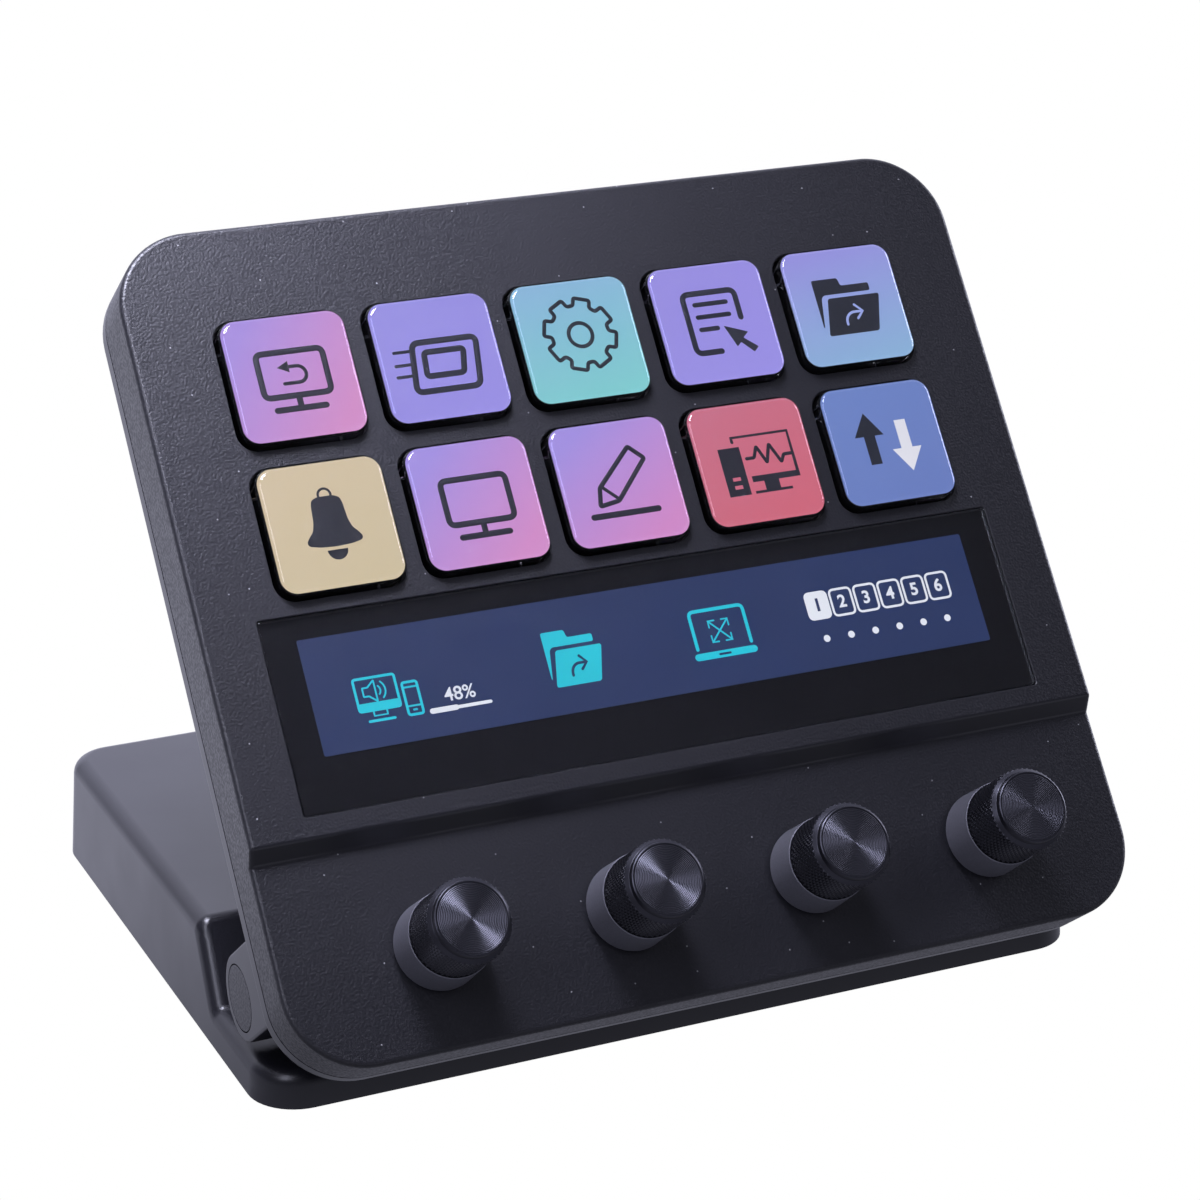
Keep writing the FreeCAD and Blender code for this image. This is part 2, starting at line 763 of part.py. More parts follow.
def add_key_wells(body):
    """The rib grid behind the face, with a well for each flange and an opening for
    each cap."""
    sketch = new_sketch(body, "key_block", y=KEY_FIELD_CENTRE, level=INNER_FRONT)
    draw_rounded_rectangle(
        sketch,
        f"{KEY_FIELD_WIDTH} - key_size + {KEY_WELL} + 2 * well_rib",
        f"{KEY_FIELD_HEIGHT} - key_size + {KEY_WELL} + 2 * well_rib",
        "key_corner",
    )
    pad(body, sketch, f"{INNER_FRONT} - {MEMBRANE_TOP}", up=False)
    cut_key_grid(
        body,
        "key_well",
        MEMBRANE_TOP,
        KEY_WELL,
        "key_corner + key_flange + well_gap",
        f"{INNER_FRONT} - {MEMBRANE_TOP}",
    )
    cut_key_grid(
        body,
        "key_opening",
        INNER_FRONT,
        KEY_OPENING,
        "key_corner + key_gap",
        "shell_wall + overrun",
    )


def add_strip_tunnel(body):
    """The glass seat, the window under it and the light-tight frame behind it."""
    frame = new_sketch(body, "strip_frame", y="strip_centre", level=INNER_FRONT)
    draw_rounded_rectangle(
        frame,
        f"{STRIP_WIDTH} + 2 * (strip_margin + tunnel_wall)",
        "strip_height + 2 * (strip_margin + tunnel_wall)",
        "strip_corner + tunnel_wall",
    )
    pad(body, frame, f"{INNER_FRONT} - {KEY_BOARD_TOP}", up=False)
    window = new_sketch(body, "strip_window", y="strip_centre", level=KEY_BOARD_TOP)
    draw_rounded_rectangle(
        window,
        f"{STRIP_WIDTH} + 2 * strip_margin",
        "strip_height + 2 * strip_margin",
        "strip_corner",
    )
    pocket(body, window, f"{FRONT} - {KEY_BOARD_TOP} + overrun", up=True)
    seat = new_sketch(body, "glass_seat", y="glass_centre", level=f"{FRONT} - glass_thickness")
    draw_rounded_rectangle(
        seat,
        f"{GLASS_WIDTH} + 2 * glass_gap",
        "glass_height + 2 * glass_gap",
        "glass_corner + glass_gap",
    )
    pocket(body, seat, "glass_thickness + overrun", up=True)


def add_front_posts(body):
    """Six screw posts from the face's back down to the parting plane."""
    posts = new_sketch(body, "front_posts", level=PARTING)
    holes = new_sketch(body, "front_pilot_holes", level=PARTING)
    for x, y in post_places():
        draw_circle(posts, "post_radius", x, y)
        draw_circle(holes, "screw_radius + screw_gap", x, y)
    pad(body, posts, f"{INNER_DECK} - {PARTING} + shell_wall / 2")
    top_posts = new_sketch(body, "front_top_posts", level=INNER_DECK)
    for x, y in post_places()[2:]:
        draw_circle(top_posts, "post_radius", x, y)
    pad(body, top_posts, f"{INNER_FRONT} - {INNER_DECK} + shell_wall / 2")
    pocket(body, holes, "screw_length - counterbore_depth + screw_end_gap", up=True)


def cut_knob_holes(body):
    hole = new_sketch(body, "knob_hole", x=FIRST_KNOB_X, y="knob_row", level=INNER_DECK)
    draw_circle(hole, "bushing_radius + bushing_gap")
    first = pocket(body, hole, "shell_wall + overrun", up=True)
    row_pattern(body, first, hole, KNOB_PITCH, KNOBS)


def make_rear_cover():
    """The shallow rear shell with its two hinge ears, port and screw bosses."""
    body = new_body("rear_cover")
    outer = new_sketch(body, "rear_outer", y=PANEL_MIDDLE, level=BACK)
    shell_outline(outer)
    pad(body, outer, "rear_depth - parting_groove")
    fillet(body, edges_where(body.Tip, at_level(BACK)), "back_edge_radius", "edge")
    lip = new_sketch(body, "rear_lip", y=PANEL_MIDDLE, level=f"{PARTING} - parting_groove")
    shell_outline(lip, "parting_groove")
    pad(body, lip, "parting_groove")
    hollow = new_sketch(body, "rear_hollow", y=PANEL_MIDDLE, level=INNER_BACK)
    shell_outline(hollow, "shell_wall")
    pocket(body, hollow, "rear_depth", up=True)
    add_rear_bosses(body)
    add_hinge_ears(body)
    cut_socket_hole(body)
    keep(body, "rear_cover", in_panel=True)


def add_rear_bosses(body):
    """Screw bosses with counterbores, and the low standoffs that carry the boards."""
    bosses = new_sketch(body, "rear_bosses", level=f"{BACK} + shell_wall / 2")
    bores = new_sketch(body, "rear_counterbores", level=BACK)
    holes = new_sketch(body, "rear_screw_holes", level=BACK)
    for x, y in post_places():
        draw_circle(bosses, "post_radius + counterbore_gap", x, y)
        draw_circle(bores, "screw_head_radius + counterbore_gap", x, y)
        draw_circle(holes, "screw_radius + screw_gap", x, y)
    pad(body, bosses, f"{PARTING} - {BACK} - shell_wall / 2")
    pocket(body, bores, "counterbore_depth", up=True)
    pocket(body, holes, "rear_depth + overrun", up=True)
    standoffs = new_sketch(body, "rear_standoffs", level=INNER_BACK)
    low = "board_bottom + 2 * standoff_radius"
    high = f"{MAIN_BOARD_HIGH} - 2 * standoff_radius"
    for x in (f"-{MAIN_BOARD_WIDTH} / 3", f"{MAIN_BOARD_WIDTH} / 3"):
        for y in (low, high):
            draw_circle(standoffs, "standoff_radius", x, y)
    pad(body, standoffs, "board_standoff")
    posts = new_sketch(body, "socket_posts", y=SOCKET_Y, level=INNER_BACK)
    for sign in (-1, 1):
        draw_circle(posts, "socket_post_radius", f"{sign} * socket_post_spacing / 2", "0")
    pad(body, posts, f"{BACK} + socket_recess + socket_depth - {INNER_BACK}")


def add_hinge_ears(body):
    """Two round lugs behind the panel, bored for the pin, its head and the cap."""
    ear = new_sketch(body, "ear", role="YZ_Plane", level=EAR_INNER)
    draw_lug(ear, "ear_radius", f"{BACK} + shell_wall / 2")
    lug = pad(body, ear, "ear_width")
    mirror_across(body, [lug])
    half = number(EAR_OUTER)

    def on_outer_face(edge):
        box = edge.BoundBox
        flat = abs(abs(box.XMin) - half) < TOLERANCE and abs(box.XMax - box.XMin) < TOLERANCE
        return flat and box.ZMin < number(BACK) - TOLERANCE

    fillet(body, edges_where(body.Tip, on_outer_face), "ear_edge_radius", "ear_edge")
    pin_hole = new_sketch(body, "pin_hole", role="YZ_Plane", level=f"{EAR_INNER} - overrun")
    draw_circle(pin_hole, "pin_radius + pin_fit")
    bore = pocket(body, pin_hole, "ear_width + 2 * overrun", up=True)
    cap_hole = new_sketch(body, "cap_hole", role="YZ_Plane", level=HEAD_INNER)
    draw_circle(cap_hole, "cap_radius + cap_groove")
    seat = pocket(body, cap_hole, f"{EAR_OUTER} - {HEAD_INNER} + overrun", up=True)
    mirror_across(body, [bore, seat])


def cut_socket_hole(body):
    sketch = new_sketch(body, "socket_hole", y=SOCKET_Y, level=BACK)
    draw_slot(
        sketch, "socket_width + 2 * socket_hole_gap", "socket_height + 2 * socket_hole_gap"
    )
    pocket(body, sketch, "shell_wall + overrun", up=True)


# Keys and display stack


def make_key_cap(row, column):
    """A clear cap with a retaining flange and a core that stops short of the display."""
    name = f"key_cap_{row + 1}_{column + 1}"
    body = new_body(name)
    x = f"({FIRST_KEY_X} + {column} * {KEY_PITCH_ACROSS})"
    y = f"({FIRST_KEY_Y} + {KEY_ROWS - 1 - row} * {KEY_PITCH_UP})"
    core = new_sketch(body, f"{name}_core", x=x, y=y, level=CORE_BOTTOM)
    draw_rounded_rectangle(core, KEY_CORE, KEY_CORE, "key_corner - key_core_inset")
    pad(body, core, f"{FLANGE_TOP} - {CORE_BOTTOM}")
    flange = new_sketch(body, f"{name}_flange", x=x, y=y, level=FLANGE_BOTTOM)
    draw_rounded_rectangle(flange, KEY_FLANGE_SIZE, KEY_FLANGE_SIZE, "key_corner + key_flange")
    pad(body, flange, "key_flange_thickness")
    head = new_sketch(body, f"{name}_head", x=x, y=y, level=FLANGE_TOP)
    draw_rounded_rectangle(head, "key_size", "key_size", "key_corner")
    pad(body, head, f"{FRONT} + key_proud - {FLANGE_TOP}")
    top = at_level(f"{FRONT} + key_proud")
    fillet(body, edges_where(body.Tip, top), "key_edge_radius", "edge")
    keep(body, name, in_panel=True)


def make_windowed_sheet(name, top, thickness, low, high, width):
    """A flat sheet between low and high with a window under each key."""
    body = new_body(name)
    back = f"({top} - {thickness})"
    outline = new_sketch(body, f"{name}_outline", y=f"({low} + {high}) / 2", level=back)
    draw_rounded_rectangle(outline, width, f"{high} - {low}", "display_corner")
    pad(body, outline, thickness)
    cut_key_grid(
        body,
        f"{name}_window",
        f"{back} - overrun",
        KEY_WINDOW,
        "key_corner - key_core_inset + window_gap",
        f"{thickness} + 2 * overrun",
    )
    return body


def make_key_membrane():
    """The silicone sheet that returns the keys, seated on the front shell's ribs."""
    overhang = f"(({KEY_WELL} - key_size) / 2 + membrane_border)"
    low = f"({KEY_FIELD_LOW} - {overhang})"
    high = f"({KEY_FIELD_HIGH} + {overhang})"
    width = f"{KEY_FIELD_WIDTH} + 2 * {overhang}"
    body = make_windowed_sheet(
        "key_membrane", MEMBRANE_TOP, "membrane_thickness", low, high, width
    )
    keep(body, "key_membrane", in_panel=True)


def make_key_board():
    """The switch board under the membrane, with one more window for the strip."""
    low = f"({DISPLAY_LOW} + display_corner)"
    high = f"({DISPLAY_HIGH} - display_corner)"
    body = make_windowed_sheet(
        "key_board",
        KEY_BOARD_TOP,
        "key_board_thickness",
        low,
        high,
        f"{DISPLAY_WIDTH} - 2 * display_corner",
    )
    level = f"{KEY_BOARD_TOP} - key_board_thickness - overrun"
    window = new_sketch(body, "key_board_strip", y="strip_centre", level=level)
    draw_rounded_rectangle(
        window,
        f"{STRIP_WIDTH} + 2 * strip_margin",
        "strip_height + 2 * strip_margin",
        "strip_corner",
    )
    pocket(body, window, "key_board_thickness + 2 * overrun", up=True)
    keep(body, "key_board", in_panel=True)


def make_strip_glass():
    """The flush cover glass of the touch strip, a hair smaller than its seat."""
    body = new_body("strip_glass")
    sketch = new_sketch(body, "glass", y="glass_centre", level=f"{FRONT} - glass_thickness")
    draw_rounded_rectangle(sketch, GLASS_WIDTH, "glass_height", "glass_corner")
    pad(body, sketch, "glass_thickness")
    keep(body, "strip_glass", in_panel=True)


def make_display_panel():
    """One display behind both the keys and the strip, with its shallow metal bezel."""
    body = new_body("display_panel")
    sketch = new_sketch(body, "display", y=DISPLAY_CENTRE, level=DISPLAY_BACK)
    draw_rounded_rectangle(sketch, DISPLAY_WIDTH, DISPLAY_HEIGHT, "display_corner")
    pad(body, sketch, "display_thickness")
    level = f"{DISPLAY_TOP} - bezel_depth"
    face = new_sketch(body, "display_face", y=DISPLAY_CENTRE, level=level)
    draw_rounded_rectangle(
        face,
        f"{DISPLAY_WIDTH} - 2 * display_border",
        f"{DISPLAY_HEIGHT} - 2 * display_border",
        "display_corner",
    )
    pocket(body, face, "bezel_depth + overrun", up=True)
    keep(body, "display_panel", in_panel=True)


def make_display_ribbon():
    """The display's flat cable, folded once round on to the main board."""
    body = new_body("display_ribbon")
    upper = f"({DISPLAY_BACK} + ribbon_thickness)"
    outer = f"({DISPLAY_LOW} - ribbon_loop)"
    landing = f"({DISPLAY_LOW} + ribbon_landing)"
    landing_top = f"({BOARD_TOP} + ribbon_thickness)"
    sketch = new_sketch(body, "ribbon", role="YZ_Plane", level="-ribbon_width / 2")
    draw_outline(
        sketch,
        [
            (DISPLAY_LOW, upper),
            (outer, upper),
            (outer, BOARD_TOP),
            (landing, BOARD_TOP),
            (landing, landing_top),
            (f"{outer} + ribbon_thickness", landing_top),
            (f"{outer} + ribbon_thickness", DISPLAY_BACK),
            (DISPLAY_LOW, DISPLAY_BACK),
        ],
    )
    pad(body, sketch, "ribbon_width")
    keep(body, "display_ribbon", in_panel=True)


# Boards and socket


def make_main_board():
    """The main board behind the display, with its processor and four driver chips."""
    body = new_body("main_board")
    middle = f"(board_bottom + {MAIN_BOARD_HIGH}) / 2"
    outline = new_sketch(body, "board", y=middle, level=BOARD_BACK)
    draw_rounded_rectangle(
        outline, MAIN_BOARD_WIDTH, f"{MAIN_BOARD_HIGH} - board_bottom", "board_corner"
    )
    pad(body, outline, "board_thickness")
    chip = new_sketch(body, "chip", y="chip_place", level=BOARD_TOP)
    draw_rounded_rectangle(chip, "chip_size", "chip_size", "chip_thickness")
    pad(body, chip, "chip_thickness")
    driver = new_sketch(
        body,
        "driver_chip",
        x=f"-{KNOBS - 1} * chip_size",
        y="chip_place - 2 * chip_size",
        level=BOARD_TOP,
    )
    draw_rounded_rectangle(driver, "chip_size / 2", "chip_size / 3", "chip_thickness / 2")
    first = pad(body, driver, "chip_thickness")
    row_pattern(body, first, driver, "2 * chip_size", KNOBS)
    keep(body, "main_board", in_panel=True)


def make_usb_socket():
    """The port's metal shell, open to the back, with its contact tongue inside."""
    body = new_body("usb_socket")
    mouth = f"({BACK} + socket_recess)"
    shell = new_sketch(body, "socket_shell", y=SOCKET_Y, level=mouth)
    draw_slot(shell, "socket_width", "socket_height")
    pad(body, shell, "socket_depth")
    room = new_sketch(body, "socket_room", y=SOCKET_Y, level=mouth)
    draw_slot(room, "socket_width - 2 * socket_wall", "socket_height - 2 * socket_wall")
    pocket(body, room, "socket_mouth_depth", up=True)
    floor = f"({mouth} + socket_mouth_depth)"
    tongue = new_sketch(body, "socket_tongue", y=SOCKET_Y, level=f"{floor} - tongue_length")
    draw_rounded_rectangle(tongue, "tongue_width", "tongue_thickness", "tongue_thickness / 4")
    pad(body, tongue, "tongue_length + socket_wall")
    keep(body, "usb_socket", in_panel=True)


def make_socket_board():
    """The small board that carries the port, on two posts of the rear shell."""
    body = new_body("socket_board")
    level = f"{BACK} + socket_recess + socket_depth"
    sketch = new_sketch(body, "socket_plate", y=SOCKET_Y, level=level)
    draw_rounded_rectangle(
        sketch, "socket_board_width", "socket_board_height", "socket_board_thickness"
    )
    pad(body, sketch, "socket_board_thickness")
    keep(body, "socket_board", in_panel=True)


# Knobs and encoders


def knob_x(index):
    return f"({FIRST_KNOB_X} + {index} * {KNOB_PITCH})"


def make_encoder(index):
    """A push encoder: square case, threaded bushing and the room for its plunger."""
    name = f"encoder_{index + 1}"
    body = new_body(name)
    x = knob_x(index)
    case = new_sketch(body, f"{name}_case", x=x, y="knob_row", level=BOARD_TOP)
    draw_rounded_rectangle(case, "encoder_size", "encoder_size", "encoder_corner")
    pad(body, case, "encoder_height")
    case_top = f"({BOARD_TOP} + encoder_height)"
    bushing = new_sketch(body, f"{name}_bushing", x=x, y="knob_row", level=case_top)
    draw_circle(bushing, "bushing_radius")
    pad(body, bushing, "bushing_height")
    floor = f"({BOARD_TOP} + encoder_floor)"
    room = new_sketch(body, f"{name}_room", x=x, y="knob_row", level=floor)
    draw_circle(room, "plunger_radius + plunger_gap")
    pocket(body, room, "knob_travel + plunger_thickness + 2 * plunger_gap", up=True)
    bore = new_sketch(body, f"{name}_bore", x=x, y="knob_row", level=floor)
    draw_circle(bore, "shaft_radius + shaft_running_gap")
    pocket(body, bore, "encoder_height + bushing_height", up=True)
    keep(body, name, in_panel=True)


def make_knob_plunger(index):
    """The switch plunger under the shaft, which goes down with it and doesn't turn."""
    name = f"knob_plunger_{index + 1}"
    body = new_body(name)
    sketch = new_sketch(body, f"{name}_disc", x=knob_x(index), y="knob_row", level=PLUNGER_FOOT)
    draw_circle(sketch, "plunger_radius")
    pad(body, sketch, "plunger_thickness")
    keep(body, name, in_panel=True)


def make_knob_shaft(index):
    """The encoder's shaft, with the flat that the knob's bore grips."""
    name = f"knob_shaft_{index + 1}"
    body = new_body(name)
    x = knob_x(index)
    rod = new_sketch(body, f"{name}_rod", x=x, y="knob_row", level=SHAFT_FOOT)
    draw_circle(rod, "shaft_radius")
    pad(body, rod, f"{SHAFT_TOP} - {SHAFT_FOOT}")
    level = f"{KNOB_FOOT} + knob_hollow_depth"
    flat = new_sketch(body, f"{name}_flat", x=x, y="knob_row", level=level)
    draw_rectangle(flat, "2 * (shaft_radius + overrun)", "shaft_flat", "shaft_radius + overrun")
    pocket(body, flat, "knob_height", up=True)
    keep(body, name, in_panel=True)


def make_knob(index):
    """A turned knob: plain skirt, straight grip, bright rim and shouldered top."""
    name = f"knob_{index + 1}"
    body = new_body(name)
    profile = new_sketch(
        body, f"{name}_profile", role="XZ_Plane", x=knob_x(index), y=KNOB_FOOT, level="-knob_row"
    )
    draw_outline(
        profile,
        [
            ("0", "knob_bore_depth"),
            ("shaft_radius + shaft_fit", "knob_bore_depth"),
            ("shaft_radius + shaft_fit", "knob_hollow_depth"),
            ("knob_hollow_radius", "knob_hollow_depth"),
            ("knob_hollow_radius", "0"),
            ("knob_skirt_radius - knob_foot_chamfer", "0"),
            ("knob_skirt_radius", "knob_foot_chamfer"),
            ("knob_skirt_top_radius", "knob_skirt_height"),
            ("knob_grip_radius", "knob_skirt_height + knob_skirt_step"),
            ("knob_grip_radius", "knob_grip_top - knob_rim_height"),
            ("knob_rim_radius", "knob_grip_top - knob_rim_height"),
            ("knob_rim_radius", "knob_grip_top"),
            ("knob_shoulder_radius", "knob_shoulder_height"),
            ("knob_top_radius", "knob_height"),
            ("0", "knob_height"),
        ],
    )
    revolve(body, profile)
    level = f"{KNOB_FOOT} + knob_hollow_depth"
    flat = new_sketch(body, f"{name}_key", x=knob_x(index), y="knob_row", level=level)
    draw_rectangle(flat, "2 * shaft_radius", "shaft_flat + shaft_fit", "knob_hollow_radius")
    pad(body, flat, "knob_bore_depth - knob_hollow_depth")
    keep(body, name, in_panel=True)


# Hinges


def make_hinge_pin(side):
    """The steel pin: head in the ear, shank through the knuckle, end past the nut."""
    name = f"hinge_pin_{side}"
    head_start, head_length = on_side(side, HEAD_INNER, HEAD_OUTER)
    shank_start, shank_length = on_side(side, PIN_END, HEAD_OUTER)
    head = cylinder(f"{name}_head", "pin_head_radius", head_length, x=head_start, along_x=True)
    shank = cylinder(f"{name}_shank", "pin_radius", shank_length, x=shank_start, along_x=True)
    keep(fuse(name, [head, shank]), name, in_panel=True)


def make_hinge_cap(side):
    """The flush round cap over the pin's head, inside a thin groove."""
    name = f"hinge_cap_{side}"
    start, length = on_side(side, HEAD_OUTER, EAR_OUTER)
    cap = keep(cylinder(name, "cap_radius", length, x=start, along_x=True), name)
    along_x = f"placement(vector({start}; 0; 0); rotation(vector(0; 1; 0); 90))"
    bind(cap, "Placement", f"{PANEL_PLACEMENT} * {along_x}")


def make_friction_washers(side):
    """Three spring washers between the knuckle and the nut."""
    name = f"friction_washers_{side}"
    rings = []
    for i in range(WASHERS):
        outer_x = f"({STACK_OUTER} - {i} * washer_thickness)"
        start, length = on_side(side, f"{outer_x} - washer_thickness", outer_x)
        disc = cylinder(f"{name}_disc_{i}", "washer_radius", length, x=start, along_x=True)
        bore = cylinder(f"{name}_bore_{i}", "pin_radius + pin_fit", length, x=start, along_x=True)
        rings.append(cut(f"{name}_ring_{i}", disc, bore))
    keep(group(name, rings), name, in_panel=True)


def make_hinge_nut(side):
    """The lock nut that sets the hinge's friction."""
    name = f"hinge_nut_{side}"
    start, length = on_side(side, NUT_INNER, NUT_OUTER)
    hexagon = doc.addObject("Part::Prism", f"{name}_hexagon")
    hexagon.Polygon = HEXAGON
    bind(hexagon, "Circumradius", "nut_across_corners / 2")
    bind(hexagon, "Height", length)
    bind(hexagon, "Placement", f"placement(vector({start}; 0; 0); rotation(vector(0; 1; 0); 90))")
    bore = cylinder(f"{name}_bore", "pin_radius + pin_fit", length, x=start, along_x=True)
    keep(cut(name, hexagon, bore), name, in_panel=True)


# Stand


def make_stand_shell():
    """The stand's top shell: low front plate, raised weighted block and knuckles."""
    body = new_body("stand_shell")
    foot = new_sketch(body, "stand_foot", level="stand_lift")
    draw_rounded_rectangle(foot, STAND_WIDTH, "stand_depth", "stand_corner")
    crown = new_sketch(body, "stand_crown", level="block_height")
    draw_rounded_rectangle(
        crown,
        f"{STAND_WIDTH} - 2 * stand_draft",
        "stand_depth - 2 * stand_draft",
        "stand_corner - stand_draft",
    )
    loft = body.newObject("PartDesign::AdditiveLoft", "stand_loft")
    loft.Profile = foot
    loft.Sections = [(crown, [""])]
    loft.Ruled = True
    doc.recompute()
    cut_stand_front(body)
    round_stand_edges(body)
    hollow_stand(body)
    add_stand_bosses(body)
    add_knuckles(body)
    keep(body, "stand_shell")


def cut_stand_front(body):
    """Cuts away the front above the plate, leaving the block's face parallel to the
    panel."""
    front = "-stand_depth / 2 - overrun"
    above = "block_height + overrun"
    sketch = new_sketch(body, "stand_front_cut", role="YZ_Plane")
    draw_outline(
        sketch,
        [
            (front, "plate_height"),
            (BLOCK_FOOT_Y, "plate_height"),
            (f"{BLOCK_FOOT_Y} + ({above} - plate_height) / {BLOCK_SLOPE}", above),
            (front, above),
        ],
    )
    pocket_both_ways(body, sketch, f"{STAND_WIDTH} + 2 * overrun")


def round_stand_edges(body):
    """Rounds the block's foot and top, then the loop round its face and the plate."""
    foot_y = number(BLOCK_FOOT_Y)
    brow_y = number(BLOCK_BROW_Y)
    plate = number("plate_height")
    half_width = number(f"{STAND_WIDTH} / 2")
    on_top = at_level("block_height")
    on_plate = at_level("plate_height")

    def across(edge):
        box = edge.BoundBox
        return box.XMax - box.XMin > half_width

    def is_foot(edge):
        return across(edge) and on_plate(edge) and abs(edge.CenterOfMass.y - foot_y) < TOLERANCE

    def is_top(edge):
        return on_top(edge) and edge.CenterOfMass.y > brow_y + TOLERANCE

    def is_face_loop(edge):
        box = edge.BoundBox
        if box.ZMin < plate - TOLERANCE or box.YMax > brow_y + TOLERANCE:
            return False
        at_front = box.YMax < foot_y - number("stand_corner")
        return not across(edge) or on_top(edge) or at_front

    fillet(body, edges_where(body.Tip, is_foot), "block_foot_radius", "foot")
    fillet(body, edges_where(body.Tip, is_top), "block_edge_radius", "top")
    fillet(body, edges_where(body.Tip, is_face_loop), "plate_edge_radius", "face")


def hollow_stand(body):
    """The hollow under the plate and, deeper, under the block."""
    low = new_sketch(body, "plate_hollow", level="stand_lift")
    draw_rounded_rectangle(
        low,
        f"{STAND_WIDTH} - 2 * stand_wall",
        "stand_depth - 2 * stand_wall",
        "stand_corner - stand_wall",
    )
    pocket(body, low, "plate_height - stand_top_wall - stand_lift", up=True)
    middle = f"({HOLLOW_FRONT_Y} + {HOLLOW_BACK_Y}) / 2"
    level = "plate_height - stand_top_wall"
    high = new_sketch(body, "block_hollow", y=middle, level=level)
    draw_rounded_rectangle(
        high,
        f"{STAND_WIDTH} - 2 * stand_wall",
        f"{HOLLOW_BACK_Y} - {HOLLOW_FRONT_Y}",
        "stand_corner - stand_wall",
    )
    pocket(body, high, "block_height - plate_height", up=True)


def boss_places():
    """The stand's four screws, as x and y."""
    return [
        (f"{sign} * {BOSS_X}", y)
        for y in (BOSS_BACK_Y, BOSS_FRONT_Y)
        for sign in (-1, 1)
    ]


def add_stand_bosses(body):
    """Screw bosses that hang from the block's top down to the bottom cover."""
    bosses = new_sketch(body, "stand_bosses", level=BOSS_TOP)
    holes = new_sketch(body, "stand_pilot_holes", level=BOSS_TOP)
    for x, y in boss_places():
        draw_circle(bosses, "boss_radius", x, y)
        draw_circle(holes, "screw_radius + screw_gap", x, y)
    pad(body, bosses, f"block_height - stand_top_wall / 2 - {BOSS_TOP}")
    depth = f"{HEAD_SEAT} + screw_length + screw_end_gap - {BOSS_TOP}"
    pocket(body, holes, depth, up=True)


def add_knuckles(body):
    """The two knuckles that stand on the plate beside the ears, bored for the pins."""
    knuckle = new_sketch(
        body, "knuckle", role="YZ_Plane", x=HINGE_Y, y="hinge_height", level=KNUCKLE_INNER
    )
    draw_lug(knuckle, "knuckle_radius", "plate_height - stand_top_wall / 2 - hinge_height")
    lug = pad(body, knuckle, "knuckle_width")
    bore = new_sketch(
        body,
        "knuckle_bore",
        role="YZ_Plane",
        x=HINGE_Y,
        y="hinge_height",
        level=f"{KNUCKLE_INNER} - overrun",
    )
    draw_circle(bore, "pin_radius + pin_running_gap")
    hole = pocket(body, bore, "knuckle_width + 2 * overrun", up=True)
    mirror_across(body, [lug, hole])


def make_bottom_cover():
    """The plate that closes the stand, recessed for the pad, with screw bosses."""
    body = new_body("bottom_cover")
    plate = new_sketch(body, "cover_plate", level="stand_lift")
    draw_rounded_rectangle(
        plate,
        f"{STAND_WIDTH} - 2 * (stand_wall + cover_gap)",
        "stand_depth - 2 * (stand_wall + cover_gap)",
        "stand_corner - stand_wall - cover_gap",
    )
    pad(body, plate, "cover_thickness")
    recess = new_sketch(body, "pad_recess", level="stand_lift - overrun")
    draw_rounded_rectangle(
        recess,
        f"{STAND_WIDTH} - 2 * (pad_inset - cover_gap)",
        "stand_depth - 2 * (pad_inset - cover_gap)",
        "pad_corner",
    )
    pocket(body, recess, "pad_thickness - stand_lift + overrun", up=True)
    bosses = new_sketch(body, "cover_bosses", level=COVER_TOP)
    heads = new_sketch(body, "cover_counterbores", level="pad_thickness")
    holes = new_sketch(body, "cover_screw_holes", level="pad_thickness")
    for x, y in boss_places():
        draw_circle(bosses, "boss_radius", x, y)
        draw_circle(heads, "screw_head_radius + counterbore_gap", x, y)
        draw_circle(holes, "screw_radius + screw_gap", x, y)
    pad(body, bosses, "boss_height")
    pocket(body, heads, "counterbore_depth", up=True)
    pocket(body, holes, f"{BOSS_TOP} - pad_thickness + overrun", up=True)
    keep(body, "bottom_cover")


def make_anti_slip_pad():
    """The rubber sheet that the stand rests on. Its underside is the floor plane."""
    body = new_body("anti_slip_pad")
    sketch = new_sketch(body, "rubber_sheet")
    draw_rounded_rectangle(
        sketch,
        f"{STAND_WIDTH} - 2 * pad_inset",
        "stand_depth - 2 * pad_inset",
        "pad_corner - cover_gap",
    )
    pad(body, sketch, "pad_thickness")
    keep(body, "anti_slip_pad")


def make_ballast_plate():
    """The steel plate in the block that keeps the stand down while keys are pressed."""
    body = new_body("ballast_plate")
    middle = f"({HOLLOW_FRONT_Y} + {HOLLOW_BACK_Y}) / 2"
    sketch = new_sketch(body, "ballast", y=middle, level=COVER_TOP)
    draw_rounded_rectangle(
        sketch,
        f"2 * ({BOSS_X} - boss_radius - ballast_gap)",
        f"{HOLLOW_BACK_Y} - {HOLLOW_FRONT_Y} - 2 * ballast_gap",
        "ballast_corner",
    )
    pad(body, sketch, "ballast_thickness")
    keep(body, "ballast_plate")


# Fasteners


def make_screws(name, places, seat, in_panel=False):
    """A group of like screws, each with its head below seat and its shank above."""
    screws = []
    for i, (x, y) in enumerate(places):
        foot = f"({seat} - screw_head_height)"
        head = cylinder(f"{name}_head_{i}", "screw_head_radius", "screw_head_height", x, y, foot)
        shank = cylinder(f"{name}_shank_{i}", "screw_radius", "screw_length", x, y, seat)
        screws.append(fuse(f"{name}_{i}", [head, shank]))
    keep(group(name, screws), name, in_panel)


# Whole object


